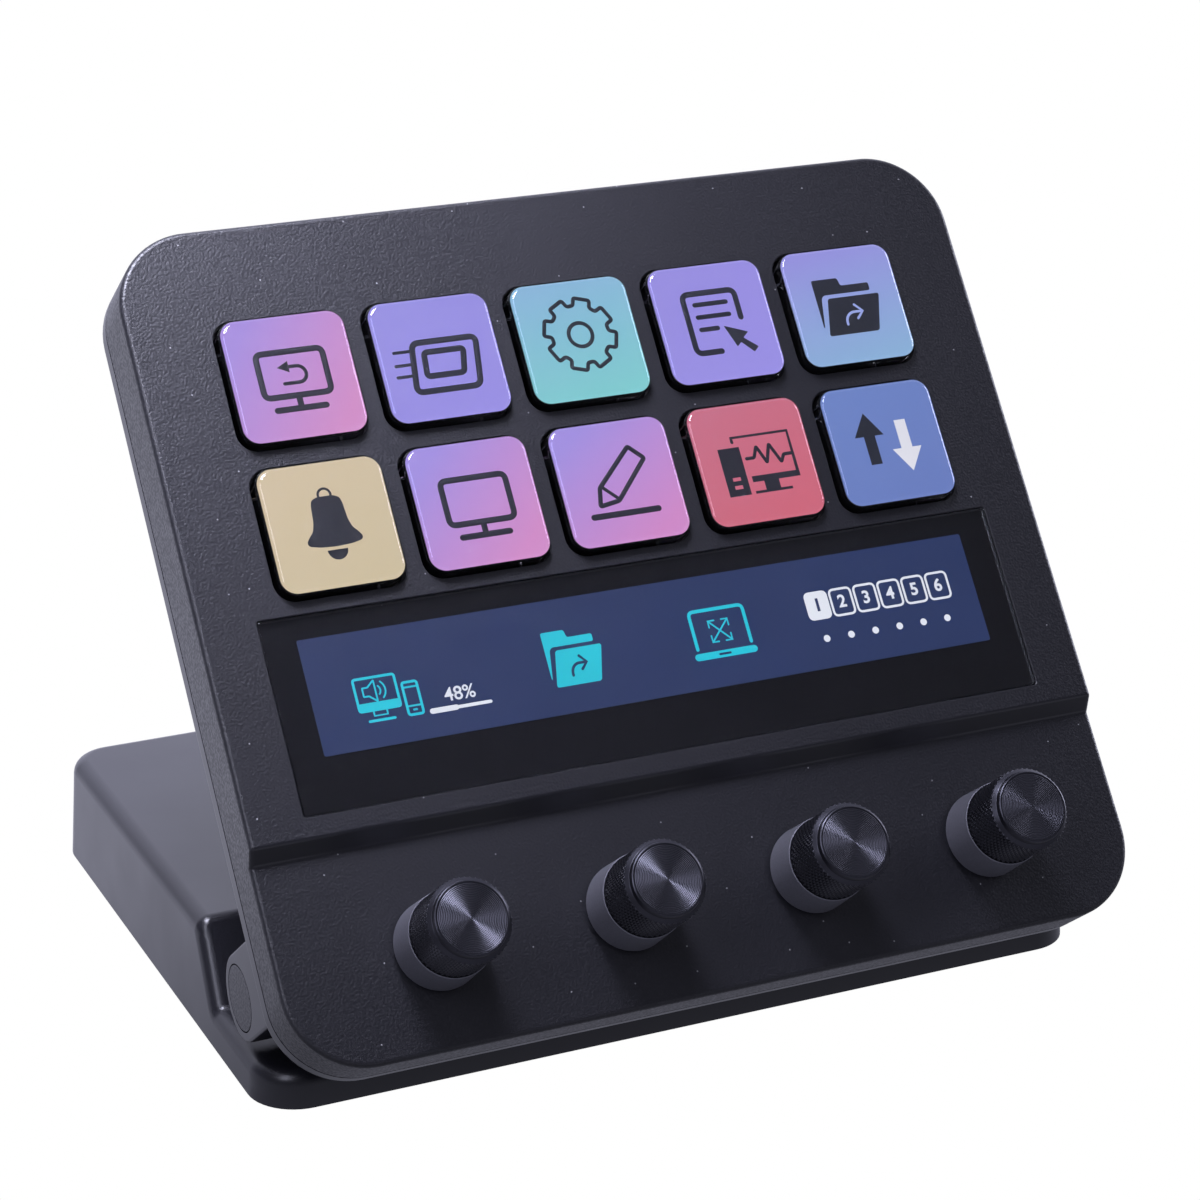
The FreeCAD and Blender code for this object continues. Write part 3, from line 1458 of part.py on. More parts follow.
def build():
    make_stand_shell()
    make_bottom_cover()
    make_anti_slip_pad()
    make_ballast_plate()
    make_screws("stand_screws", boss_places(), HEAD_SEAT)
    make_front_cover()
    make_rear_cover()
    make_strip_glass()
    make_key_membrane()
    make_key_board()
    make_display_panel()
    make_display_ribbon()
    make_main_board()
    make_usb_socket()
    make_socket_board()
    make_screws("panel_screws", post_places(), f"({BACK} + counterbore_depth)", in_panel=True)
    for side in SIDES:
        make_hinge_pin(side)
        make_hinge_cap(side)
        make_friction_washers(side)
        make_hinge_nut(side)
    for row in range(KEY_ROWS):
        for column in range(KEY_COLUMNS):
            make_key_cap(row, column)
    for index in range(KNOBS):
        make_encoder(index)
        make_knob_plunger(index)
        make_knob_shaft(index)
        make_knob(index)
    doc.recompute()


def check():
    """Stops the build if an object failed or a node has no valid solid."""
    for thing in doc.Objects:
        if any(state in ("Invalid", "Error") for state in thing.State):
            raise RuntimeError(f"{thing.Label} failed: {thing.State}")
    for node in nodes:
        shape = node.Shape
        if shape.isNull() or not shape.isValid() or not shape.Solids:
            raise RuntimeError(f"{node.Label} has no valid solid")


def export():
    os.makedirs("parts", exist_ok=True)
    for node in nodes:
        node.Shape.exportStep(f"parts/{node.Label}.step")
        box = node.Shape.BoundBox
        print(
            f"{node.Label}: {len(node.Shape.Solids)} solid, {node.Shape.Volume:.1f} mm3,"
            f" z {box.ZMin:.2f} to {box.ZMax:.2f}"
        )


fill_sheet()
build()
check()
export()
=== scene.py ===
"""Visual model of a tilting desk keypad with display keys, a touch strip and push knobs."""
import json
import math

import bmesh
import bpy
from mathutils import Matrix, Vector


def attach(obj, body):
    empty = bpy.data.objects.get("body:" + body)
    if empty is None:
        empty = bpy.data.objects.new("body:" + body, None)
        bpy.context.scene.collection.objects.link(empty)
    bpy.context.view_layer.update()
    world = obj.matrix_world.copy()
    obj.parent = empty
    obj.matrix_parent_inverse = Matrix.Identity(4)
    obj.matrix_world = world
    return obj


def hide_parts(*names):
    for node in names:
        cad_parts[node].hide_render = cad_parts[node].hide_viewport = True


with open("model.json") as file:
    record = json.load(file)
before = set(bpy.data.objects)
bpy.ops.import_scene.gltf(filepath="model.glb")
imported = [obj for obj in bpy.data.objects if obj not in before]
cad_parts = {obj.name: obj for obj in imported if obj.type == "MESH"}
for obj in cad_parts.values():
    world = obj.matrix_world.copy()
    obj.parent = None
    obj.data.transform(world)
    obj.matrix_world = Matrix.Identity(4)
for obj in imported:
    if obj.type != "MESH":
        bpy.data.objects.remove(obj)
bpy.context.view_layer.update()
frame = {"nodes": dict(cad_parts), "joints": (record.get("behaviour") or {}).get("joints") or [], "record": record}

bl_info = {
    "name": "Desk Keypad",
    "version": (1, 0, 0),
    "blender": (4, 5, 0),
    "location": "View3D > Sidebar > Keypad",
    "description": "Models a tilting desk keypad round its packed solids",
    "category": "Object",
}

# Pieces are modelled in millimetres in the panel's own frame, with x to the right, y up the panel
# and z out of it. PANEL carries them to their place in metres.
MM = 0.001
JOINTS = {joint["name"]: joint for joint in frame["joints"]}
OUT = -Vector(JOINTS["key_1_1_press"]["axis"])
TILT = math.atan2(-OUT.y, OUT.z)
HINGE = Vector(JOINTS["panel_tilt"]["pos_m"])
PANEL = Matrix.Translation(HINGE) @ Matrix.Rotation(TILT, 4, "X") @ Matrix.Scale(MM, 4)

KEYS = [f"{row}_{column}" for row in (1, 2) for column in range(1, 6)]
KNOBS = range(1, 5)

# How far a tool reaches past what it cuts, and how far joined blocks overlap, in millimetres.
OVERRUN = 1.0
OVERLAP = 0.1

# Parts of unit normals along z: a wall has less than the first, a face that looks up has more
# than the second, and a flat one more than the third.
WALL_SLOPE = 0.1
UP_SLOPE = 0.5
FLAT_SLOPE = 0.9

# Panel levels and sizes, in millimetres.
PARTING = 14.9
WALL = 2.0
PANEL_CORNER = 12.0
DECK_DROP = 2.3
RAMP_FOOT = 13.8
RAMP_TOP = 15.9
RAMP_MARGIN = 1.0
RAMP_SLOPES = (0.5, 0.95)
CREASE_SHARE = 0.5
KEY_OPENING = 20.2
OPENING_CORNER = 3.1
OPENING_EDGE = 0.12
MEMBRANE_TOP = 20.6
GLASS_GAP = 0.15
GLASS_CORNER = 0.4
KNOB_HOLE = 3.75
KNOB_HOLE_DEPTH = 3.0

# Key caps, in millimetres.
KEY_SIZE = 19.4
KEY_CORNER = 2.7
FLANGE = 0.9
FLANGE_LOW = 21.55
FLANGE_HIGH = 22.75
FLANGE_EDGE = 0.2
CORE_INSET = 0.6
TILE_SIZE = 18.9
TILE_CORNER = 2.45
TILE_DEPTH = 0.42
TILE_THICKNESS = 0.25

# Lit strip, in millimetres.
STRIP_WIDTH = 108.0
STRIP_HEIGHT = 17.3
STRIP_CENTRE = 35.8
PRINT_RISE = 0.02
PRINT_THICKNESS = 0.06
PRINT_INSET = 0.2
GROUND_CORNER = 0.3
GROUND_SINK = 0.01
GROUND_RISE = 0.02

# Pictures are thin flat meshes, in millimetres. A figure's height is a share of its font size.
LINE_THICKNESS = 0.024
LINE_LIFT = 0.03
LINE = 0.93
FIGURE_SHARE = 0.72

# Middle distance between specks of dust, in millimetres.
DUST_PITCH = 12.0

# Knobs, in millimetres above the knob's foot.
KNOB_STEPS = 96
SKIRT_RADIUS = 6.6
SKIRT_TOP_RADIUS = 6.35
SKIRT_HEIGHT = 6.9
GRIP_RADIUS = 6.15
GRIP_FOOT = 7.15
GRIP_TOP = 14.7
RIM_RADIUS = 6.02
RIM_TOP = 14.85
RING_RADIUS = 5.5
RING_FOOT = 15.3
TOP_RADIUS = 5.25
KNOB_HEIGHT = 16.1
HOLLOW_RADIUS = 5.0
HOLLOW_DEPTH = 4.0
FOOT_CHAMFER = 0.3
TOP_EDGE = 0.1
TOP_LAND = 0.05
DISC_RADIUS = 5.05
SKIRT_CHAMFER = 0.1
GRIP_STEP = 0.15
RING_BEVEL = (0.08, 0.05)

# Share of the knurl's height that lies below the grip's radius, and the least sideways part of
# the normal of a face on the grip.
KNURL_SINK = 0.7
GRIP_SLOPE = 0.5

# Slack when places are compared, in millimetres, and the reach in metres that welds corners.
SLACK = 0.01
WELD_REACH = 1e-6
SMOOTH_ANGLE = math.radians(30)

# Angles of the rings that round a line's ends, in degrees.
CAP_ANGLES = (30, 60, 80)

CAMERA_PLACE = (-0.2015, -0.4544, 0.2432)
CAMERA_TURN = (68.82, -0.22, -24.66)
CAMERA_LENS = 101.9


def linear(colour):
    """An sRGB hex colour as linear red, green, blue and an alpha of 1."""
    channels = [int(colour[i : i + 2], 16) / 255 for i in (1, 3, 5)]
    light = [c / 12.92 if c <= 0.04045 else ((c + 0.055) / 1.055) ** 2.4 for c in channels]
    return (*light, 1.0)


def colour_property(name, description, colour):
    """A colour that the user may change, with an sRGB hex colour as its default."""
    return bpy.props.FloatVectorProperty(
        name=name,
        description=description,
        subtype="COLOR",
        size=4,
        min=0.0,
        max=1.0,
        default=linear(colour),
    )


def length_property(name, description, millimetres):
    """A length that the user may change, with its default in millimetres."""
    return bpy.props.FloatProperty(
        name=name,
        description=description,
        unit="LENGTH",
        precision=5,
        min=0.0,
        default=millimetres * MM,
    )


class KeypadSizes(bpy.types.PropertyGroup):
    """Fine sizes of the visible surfaces"""

    face_edge: length_property("Face edge", "Radius round the rim of the front cover", 0.8)
    key_edge: length_property("Key edge", "Radius round the top of a key cap", 1.1)
    glass_edge: length_property("Glass edge", "Ground edge round the top of the glass strip", 0.15)
    knurl_rows: bpy.props.IntProperty(
        name="Knurl rows", description="Rows of points up a knob's grip", min=4, max=40, default=15
    )
    knurl_depth: length_property("Knurl depth", "Height of the points of a knob's grip", 0.26)
    groove_pitch: length_property("Groove pitch", "Spacing of the turned grooves on a knob", 0.24)
    groove_depth: length_property("Groove depth", "Depth of the turned grooves on a knob", 0.066)
    grain: length_property("Grain", "Size of the moulded grain on the face", 0.36)
    grain_depth: length_property("Grain depth", "Depth of the moulded grain on the face", 0.045)


class KeypadColours(bpy.types.PropertyGroup):
    """Colours of the visible surfaces"""

    face: colour_property("Face", "Textured plastic of the front cover", "#1D1D22")
    body: colour_property("Body", "Satin plastic of the stand and the rear cover", "#1A1A1F")
    knob: colour_property("Knob", "Turned and knurled metal of the knobs", "#38383E")
    # The skirt's grey is lighter than the knob's, partly from its bead-blast finish and partly as painted light
    # reflected from the floor.
    skirt: colour_property("Skirt", "Blasted metal of the knobs' skirts", "#74747C")
    ink: colour_property("Ink", "Dark lines of the key pictures", "#1F222E")
    strip: colour_property("Strip", "Lit ground of the touch strip", "#23325D")
    cyan: colour_property("Cyan", "Bright pictures on the touch strip", "#22C4DA")
    white: colour_property("White", "White pictures on the touch strip", "#E6E8F2")


def leave_edit():
    """Return to object mode."""
    bpy.ops.object.mode_set(mode="OBJECT")


def deselect():
    """Leave edit mode with nothing selected, so that an operator acts on its own piece only."""
    if bpy.context.mode != "OBJECT":
        leave_edit()
    bpy.ops.object.select_all(action="DESELECT")


def focus(*objects):
    """Select some objects, and make the first the active one."""
    deselect()
    for obj in objects:
        obj.select_set(True)
    bpy.context.view_layer.objects.active = objects[0]


def edit(obj):
    """Enter edit mode on one object."""
    focus(obj)
    bpy.ops.object.mode_set(mode="EDIT")


def pick(obj, kind, test):
    """In edit mode, select only the corners, edges or faces that pass the test."""
    bpy.ops.mesh.select_mode(type=kind)
    bpy.ops.mesh.select_all(action="DESELECT")
    mesh = bmesh.from_edit_mesh(obj.data)
    mesh.normal_update()
    elements = {"VERT": mesh.verts, "EDGE": mesh.edges, "FACE": mesh.faces}[kind]
    for element in elements:
        if test(element):
            element.select_set(True)
    bmesh.update_edit_mesh(obj.data)


def is_upright(edge):
    """Tell whether an edge runs along z."""
    step = edge.verts[1].co - edge.verts[0].co
    return abs(step.z) > SLACK and abs(step.x) < SLACK and abs(step.y) < SLACK


def is_rim(edge):
    """Tell whether an edge joins a wall to a surface that faces up."""
    slopes = sorted(face.normal.z for face in edge.link_faces)
    return len(slopes) == 2 and abs(slopes[0]) < WALL_SLOPE and slopes[1] > UP_SLOPE


def is_crease(edge):
    """Tell whether an edge joins two surfaces that face up at different slopes."""
    slopes = sorted(face.normal.z for face in edge.link_faces)
    return len(slopes) == 2 and slopes[0] > UP_SLOPE and slopes[1] - slopes[0] > WALL_SLOPE


def round_edges(obj, test, radius, segments):
    """Round the edges of a piece that pass the test."""
    edit(obj)
    pick(obj, "EDGE", test)
    bpy.ops.mesh.bevel(offset=radius, segments=segments)
    leave_edit()


def block(name, low, high, corner, segments):
    """A block between two opposite corners, with its upright edges rounded."""
    low, high = Vector(low), Vector(high)
    deselect()
    bpy.ops.mesh.primitive_cube_add(size=1, location=(low + high) / 2, scale=high - low)
    obj = bpy.context.object
    obj.name = name
    bpy.ops.object.transform_apply()
    round_edges(obj, is_upright, corner, segments)
    return obj


def apply_modifier(obj, kind, **settings):
    """Add a modifier with its settings to a piece, and apply it."""
    focus(obj)
    modifier = obj.modifiers.new(kind.lower(), kind)
    for name, value in settings.items():
        setattr(modifier, name, value)
    bpy.ops.object.modifier_apply(modifier=modifier.name)


def combine(target, tool, operation="DIFFERENCE"):
    """Cut a tool out of a piece, or join it on, and delete the tool."""
    apply_modifier(target, "BOOLEAN", operation=operation, solver="EXACT", object=tool)
    bpy.data.objects.remove(tool)


def copy_to(obj, name, step):
    """A copy of a piece with its own mesh, moved by a step."""
    focus(obj)
    bpy.ops.object.duplicate()
    twin = bpy.context.object
    twin.name = name
    twin.location = step
    bpy.ops.object.transform_apply()
    return twin


def join(name, objects):
    """Join several meshes into one piece."""
    focus(*objects)
    if len(objects) > 1:
        bpy.ops.object.join()
    piece = bpy.context.object
    piece.name = name
    return piece


def smooth(obj):
    """Shade gentle bends smooth and keep flat faces flat up to their rounded edges."""
    focus(obj)
    bpy.ops.object.shade_smooth_by_angle(angle=SMOOTH_ANGLE)
    apply_modifier(obj, "WEIGHTED_NORMAL", keep_sharp=True)


def seat(obj, body, material, slot, *nodes):
    """Carry a piece to its place in metres, fix it to its body and finish it."""
    focus(obj)
    obj.matrix_world = PANEL
    bpy.ops.object.transform_apply()
    obj.data.materials.clear()
    obj.data.materials.append(material)
    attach(obj, body)
    if nodes:
        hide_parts(*nodes)


def panel_box(node):
    """Lowest and highest corners of a CAD node in the panel's own frame, in millimetres."""
    back = PANEL.inverted()
    places = [back @ corner.co for corner in frame["nodes"][node].data.vertices]
    low = Vector(min(place[i] for place in places) for i in range(3))
    high = Vector(max(place[i] for place in places) for i in range(3))
    return low, high


def panel_middle(node):
    """Middle of a CAD node across the panel, at the panel frame's zero level."""
    low, high = panel_box(node)
    return Vector(((low.x + high.x) / 2, (low.y + high.y) / 2, 0))


def add_node(tree, kind, inputs=(), **settings):
    """Add one node with its settings, and its inputs as values or as links from other nodes."""
    node = tree.nodes.new("ShaderNode" + kind)
    for name, value in settings.items():
        setattr(node, name, value)
    for name, value in dict(inputs).items():
        if isinstance(value, bpy.types.NodeSocket):
            tree.links.new(value, node.inputs[name])
        else:
            node.inputs[name].default_value = value
    return node


def new_material(name):
    """An empty material with its node tree."""
    material = bpy.data.materials.new(name)
    material.use_nodes = True
    material.node_tree.nodes.clear()
    return material, material.node_tree


def finish_material(material, inputs):
    """Add the surface shader with its inputs and the output, and give back the material."""
    shader = add_node(material.node_tree, "BsdfPrincipled", inputs)
    add_node(material.node_tree, "OutputMaterial", {"Surface": shader.outputs["BSDF"]})
    return material


def noise(tree, size_mm, detail=2.0):
    """A noise pattern on the piece, with features of about the size given in millimetres."""
    place = add_node(tree, "TexCoord").outputs["Object"]
    inputs = {"Vector": place, "Scale": 1 / (size_mm * MM), "Detail": detail, "Roughness": 0.5}
    return add_node(tree, "TexNoise", inputs).outputs["Fac"]


def spread(tree, value, low, high, start=0.3, end=0.7, easing="LINEAR"):
    """Map a part of a pattern, its middle if not told otherwise, to a range of values."""
    inputs = {"Value": value, "From Min": start, "From Max": end, "To Min": low, "To Max": high}
    return add_node(tree, "MapRange", inputs, interpolation_type=easing).outputs["Result"]


def mix_colours(tree, factor, first, second):
    """Mix two colours by a factor."""
    mix = add_node(tree, "Mix", {"Factor": factor}, data_type="RGBA")
    for index, colour in ((6, first), (7, second)):
        if isinstance(colour, bpy.types.NodeSocket):
            tree.links.new(colour, mix.inputs[index])
        else:
            mix.inputs[index].default_value = colour
    return mix.outputs[2]


def tint(tree, value, colour, share):
    """A colour that a pattern makes lighter or darker by a share of itself."""
    light = tuple(min(1.0, c * (1 + share)) for c in colour[:3]) + (1.0,)
    dark = tuple(c * (1 - share) for c in colour[:3]) + (1.0,)
    return mix_colours(tree, spread(tree, value, 0.0, 1.0), dark, light)


def bump(tree, height, depth_mm):
    """A surface normal that follows a height pattern of the depth given in millimetres."""
    inputs = {"Height": height, "Distance": depth_mm * MM, "Strength": 1.0}
    return add_node(tree, "Bump", inputs).outputs["Normal"]


def mottled(name, colour, patch_mm, share, values, detail=2.0, grain_mm=None, depth_mm=None):
    """A material whose colour varies by a share over patches, with a grain if one is given.

    A value of three numbers is a pattern: its patches in millimetres, its lowest and its highest.
    """
    material, tree = new_material(name)
    inputs = {"Base Color": tint(tree, noise(tree, patch_mm, detail), colour, share)}
    for socket, value in values.items():
        if isinstance(value, tuple):
            size_mm, low, high = value
            value = spread(tree, noise(tree, size_mm), low, high)
        inputs[socket] = value
    if grain_mm:
        inputs["Normal"] = bump(tree, noise(tree, grain_mm, detail), depth_mm)
    return finish_material(material, inputs)


def dust(tree):
    """Sparse specks of dust over the panel's plane, as a factor of 0 or 1."""
    place = add_node(tree, "TexCoord")
    inputs = {"Vector": place.outputs["Object"], "Rotation": (TILT, 0, 0)}
    flat = add_node(tree, "Mapping", inputs, vector_type="TEXTURE")
    inputs = {"Vector": flat.outputs["Vector"], "Scale": 1 / (DUST_PITCH * MM)}
    specks = add_node(tree, "TexVoronoi", inputs, voronoi_dimensions="2D")
    return spread(tree, specks.outputs["Distance"], 1.0, 0.0, start=0.006, end=0.012)


def grained_abs(colour, grain_mm, depth_mm):
    """Injection moulded ABS with a fine spark-eroded grain, pebbled and lightly dusty."""
    material, tree = new_material("spark_eroded_abs")
    pebbles = noise(tree, grain_mm, detail=0.0)
    plastic = tint(tree, noise(tree, 30.0), colour, 0.08)
    inputs = {
        "Base Color": mix_colours(tree, dust(tree), plastic, linear("#9A9A9C")),
        "Roughness": spread(tree, pebbles, 0.36, 0.52),
        "IOR": 1.53,
        "Normal": bump(tree, pebbles, depth_mm),
    }
    return finish_material(material, inputs)


def satin_abs(colour):
    """Injection moulded ABS from an etched mould: a fine even satin with almost no grain."""
    values = {"Roughness": (12.0, 0.31, 0.36), "IOR": 1.53}
    grain = {"grain_mm": 0.25, "depth_mm": 0.008}
    return mottled("satin_moulded_abs", colour, 35.0, 0.06, values, **grain)


def clear_material(name, colour, index):
    """A clear polished material of a refractive index."""
    inputs = {
        "Base Color": linear(colour),
        "Roughness": 0.0,
        "IOR": index,
        "Transmission Weight": 1.0,
    }
    return finish_material(new_material(name)[0], inputs)


def polished_acrylic():
    """Injection moulded PMMA from a polished mould: water clear, with a hard bright edge."""
    return clear_material("polished_clear_acrylic", "#FBFBFF", 1.49)


def strip_glass():
    """Soda-lime cover glass, ground and polished: clear, flat and sharply reflecting."""
    return clear_material("polished_cover_glass", "#F4F8FB", 1.52)


def black_print():
    """Screen-printed black ink under glass: an even matt black."""
    values = {"Roughness": 0.7, "Specular IOR Level": 0.2}
    return mottled("black_screen_print", linear("#17171B"), 5.0, 0.1, values)


def lit_film(material, colour, strength):
    """Finish a material as dark display film that gives light of a colour."""
    inputs = {
        "Base Color": linear("#050505"),
        "Roughness": 0.5,
        "Emission Color": colour,
        "Emission Strength": strength,
    }
    return finish_material(material, inputs)


def lit_picture(name, colour):
    """Display film lit from behind in one colour, with the faint unevenness of its light guide."""
    material, tree = new_material(name)
    return lit_film(material, tint(tree, noise(tree, 9.0, detail=0.0), colour, 0.03), 1.0)


def lit_gradient(name, centre, size_mm, first, second, degrees):
    """Display film lit from behind, with one colour passing into another along a direction."""
    material, tree = new_material(name)
    place = add_node(tree, "TexCoord")
    inputs = {
        "Vector": place.outputs["Object"],
        "Location": centre,
        "Rotation": (TILT, 0, 0),
        "Scale": (size_mm * MM,) * 3,
    }
    flat = add_node(tree, "Mapping", inputs, vector_type="TEXTURE")
    angle = math.radians(degrees)
    inputs = {0: flat.outputs["Vector"], 1: (math.cos(angle), math.sin(angle), 0)}
    share = add_node(tree, "VectorMath", inputs, operation="DOT_PRODUCT").outputs["Value"]
    factor = spread(tree, share, 0.0, 1.0, start=-0.5, end=0.5)
    return lit_film(material, mix_colours(tree, factor, linear(first), linear(second)), 0.94)


def anodised_aluminium(colour):
    """Black anodised aluminium, turned and knurled: a dark metal with a silky sheen."""
    values = {"Metallic": 0.85, "Roughness": (3.0, 0.31, 0.35)}
    return mottled("black_anodised_aluminium", colour, 4.0, 0.06, values)


def blast_finish_with_painted_light(colour):
    """The same anodised metal with a bead-blast finish: a softer sheen, and a lighter grey that is painted light
    reflected from the floor onto the skirt.
    """
    values = {"Metallic": 0.4, "Roughness": 0.42}
    return mottled("bead_blast_anodised_aluminium_painted_light", colour, 0.3, 0.08, values)


def steel(name, colour, roughness):
    """Plated or bare steel: a grey metal with fine tumbled scratches."""
    values = {"Metallic": 1.0, "Roughness": (0.2, roughness - 0.06, roughness + 0.06)}
    return mottled(name, linear(colour), 0.2, 0.08, values)


def silicone():
    """Moulded silicone rubber: dead matt, with a soft sheen at its edges."""
    values = {"Roughness": 0.8, "Sheen Weight": 0.2}
    grain = {"grain_mm": 0.15, "depth_mm": 0.01}
    return mottled("moulded_silicone", linear("#1C1C1F"), 4.0, 0.1, values, **grain)


def solder_mask():
    """Glass-epoxy board under black solder mask: satin, with the tracks faintly raised."""
    values = {"Roughness": 0.45}
    tracks = {"detail": 0.0, "grain_mm": 1.2, "depth_mm": 0.03}
    return mottled("black_solder_mask", linear("#15211C"), 1.2, 0.3, values, **tracks)


def polyimide():
    """Polyimide film of a flat ribbon: amber and slightly glossy."""
    return mottled("polyimide_film", linear("#8A5A1C"), 1.0, 0.15, {"Roughness": 0.3})


def display_film():
    """Polariser film over a display: dark, smooth and neutral."""
    return mottled("display_film", linear("#15161C"), 20.0, 0.05, {"Roughness": 0.15})


def moulded_nylon():
    """Glass-filled nylon of a switch housing: black and faintly mottled."""
    grain = {"grain_mm": 0.2, "depth_mm": 0.01}
    return mottled("glass_filled_nylon", linear("#202023"), 0.4, 0.2, {"Roughness": 0.55}, **grain)


def panel_form(name, inset, foot, face, segments):
    """The front cover's outline as a block drawn in by an inset, with the knob deck dropped."""
    low, high = panel_box("front_cover")
    start = (low.x + inset, low.y + inset, foot)
    end = (high.x - inset, high.y - inset, face)
    obj = block(name, start, end, PANEL_CORNER - inset, segments)
    edit(obj)
    for place in (RAMP_FOOT, RAMP_TOP):
        bpy.ops.mesh.select_all(action="SELECT")
        bpy.ops.mesh.bisect(plane_co=(0, place, 0), plane_no=(0, 1, 0), threshold=SLACK / 10)
    pick(obj, "VERT", lambda v: v.co.z > face - SLACK and v.co.y < RAMP_FOOT + SLACK)
    bpy.ops.transform.translate(value=(0, 0, -DECK_DROP))
    leave_edit()
    return obj


def opening_tool(name, middle, width, height, corner, floor, face, segments=8):
    """A tool that cuts a rounded opening down to a floor and breaks its edge at the face."""
    half = Vector((width / 2, height / 2, 0))
    low = Vector(middle) - half
    high = Vector(middle) + half
    low.z = floor
    high.z = face - OPENING_EDGE
    tool = block(name, low, high, corner, segments)
    edit(tool)
    pick(tool, "FACE", lambda f: f.normal.z > FLAT_SLOPE)
    flare = (1 + 2 * OPENING_EDGE / width, 1 + 2 * OPENING_EDGE / height, 1)
    bpy.ops.mesh.extrude_region_move(TRANSFORM_OT_translate={"value": (0, 0, OPENING_EDGE)})
    bpy.ops.transform.resize(value=flare, center_override=(middle.x, middle.y, face))
    bpy.ops.mesh.extrude_region_move(TRANSFORM_OT_translate={"value": (0, 0, OVERRUN)})
    leave_edit()
    return tool


class KEYPAD_OT_front_cover(bpy.types.Operator):
    """Model the moulded front cover with its ramp, key openings, glass seat and knob holes"""

    bl_idname = "keypad.front_cover"
    bl_label = "Front cover"

    def execute(self, context):
        sizes = context.scene.keypad_sizes
        face = panel_box("front_cover")[1].z
        deck = face - DECK_DROP
        cover = panel_form("front_shell", 0.0, PARTING, face, segments=24)
        edit(cover)
        pick(cover, "EDGE", is_rim)
        bpy.ops.transform.edge_bevelweight(value=1.0)
        pick(cover, "EDGE", is_crease)
        bpy.ops.transform.edge_bevelweight(value=CREASE_SHARE)
        leave_edit()
        rounding = {"width": sizes.face_edge / MM, "segments": 4, "limit_method": "WEIGHT"}
        apply_modifier(cover, "BEVEL", **rounding)
        hollow = panel_form("hollow", WALL, PARTING - OVERRUN, face - WALL, segments=16)
        combine(cover, hollow)
        tools = []
        size = (KEY_OPENING, KEY_OPENING, OPENING_CORNER)
        for key in KEYS:
            middle = panel_middle(f"key_cap_{key}")
            tools.append(opening_tool("opening", middle, *size, MEMBRANE_TOP, face))
        low, high = panel_box("strip_glass")
        size = [side + 2 * GLASS_GAP for side in (high.x - low.x, high.y - low.y)]
        size.append(GLASS_CORNER + GLASS_GAP)
        tools.append(opening_tool("seat", panel_middle("strip_glass"), *size, low.z, face))
        size = (2 * KNOB_HOLE, 2 * KNOB_HOLE, KNOB_HOLE - SLACK)
        foot = deck - KNOB_HOLE_DEPTH
        for knob in KNOBS:
            middle = panel_middle(f"knob_{knob}")
            tools.append(opening_tool("bore", middle, *size, foot, deck, segments=12))
        combine(cover, join("openings", tools))
        smooth(cover)
        grained = bpy.data.materials["spark_eroded_abs"]
        seat(cover, "panel", grained, "panel_plastic", "front_cover")
        cover.data.materials.append(bpy.data.materials["satin_moulded_abs"])
        back = PANEL.inverted()
        for polygon in cover.data.polygons:
            height = (back @ polygon.center).y
            near_ramp = RAMP_FOOT - RAMP_MARGIN < height < RAMP_TOP + RAMP_MARGIN
            slopes = RAMP_SLOPES[0] < polygon.normal.dot(OUT) < RAMP_SLOPES[1]
            polygon.material_index = int(near_ramp and slopes)
        return {"FINISHED"}


# Each key picture passes from one colour to another along a direction in degrees.
KEY_LIGHT = {
    "1_1": ("#A98FE0", "#D58FC9", -35),
    "1_2": ("#9891E4", "#9A90E6", -60),
    "1_3": ("#8AB9DC", "#80CFD2", -80),
    "1_4": ("#9A90E4", "#9C92E8", -60),
    "1_5": ("#9895E2", "#8DB4DC", -80),
    "2_1": ("#D6C4A4", "#D2C2A0", -60),
    "2_2": ("#A592E4", "#D68FCB", -45),
    "2_3": ("#A592E4", "#D48CCB", -55),
    "2_4": ("#CC7088", "#D2687C", -60),
    "2_5": ("#6E86C8", "#6B80C2", -60),
}


def cap_block(name, half, foot, top, corner, segments=8):
    """A square block of a half width, centred on the panel frame's zero."""
    return block(name, (-half, -half, foot), (half, half, top), corner, segments)


def make_cap(sizes):
    """One clear key cap over the panel frame's zero, with its flange and core."""
    low, high = panel_box("key_cap_1_1")
    half = KEY_SIZE / 2
    cap = cap_block("cap", half, FLANGE_HIGH - OVERLAP, high.z, KEY_CORNER, 10)
    round_edges(cap, is_rim, sizes.key_edge / MM, 5)
    flange = cap_block("flange", half + FLANGE, FLANGE_LOW, FLANGE_HIGH, KEY_CORNER + FLANGE)
    round_edges(flange, is_rim, FLANGE_EDGE, 2)
    combine(cap, flange, "UNION")
    corner = KEY_CORNER - CORE_INSET
    core = cap_block("core", half - CORE_INSET, low.z, FLANGE_LOW + OVERLAP, corner)
    combine(cap, core, "UNION")
    smooth(cap)
    return cap


def make_tile():
    """The lit picture plate that shows right under the top of a key cap."""
    level = panel_box("key_cap_1_1")[1].z - TILE_DEPTH
    return cap_block("tile", TILE_SIZE / 2, level - TILE_THICKNESS, level, TILE_CORNER, 10)


class KEYPAD_OT_key_caps(bpy.types.Operator):
    """Model the clear key caps and the lit plate inside each"""

    bl_idname = "keypad.key_caps"
    bl_label = "Key caps"

    def execute(self, context):
        cap = make_cap(context.scene.keypad_sizes)
        tile = make_tile()
        clear = polished_acrylic()
        black = black_print()
        for key in KEYS:
            node = f"key_cap_{key}"
            middle = panel_middle(node)
            piece = copy_to(cap, f"clear_cap_{key}", middle)
            seat(piece, f"key_{key}", clear, "clear_acrylic", node)
            film = lit_gradient(f"lit_film_{key}", PANEL @ middle, TILE_SIZE, *KEY_LIGHT[key])
            piece = copy_to(tile, f"lit_plate_{key}", middle)
            seat(piece, f"key_{key}", film, "display")
            piece.data.materials.append(black)
            for polygon in piece.data.polygons:
                polygon.material_index = int(polygon.normal.dot(OUT) <= FLAT_SLOPE)
        bpy.data.objects.remove(cap)
        bpy.data.objects.remove(tile)
        return {"FINISHED"}


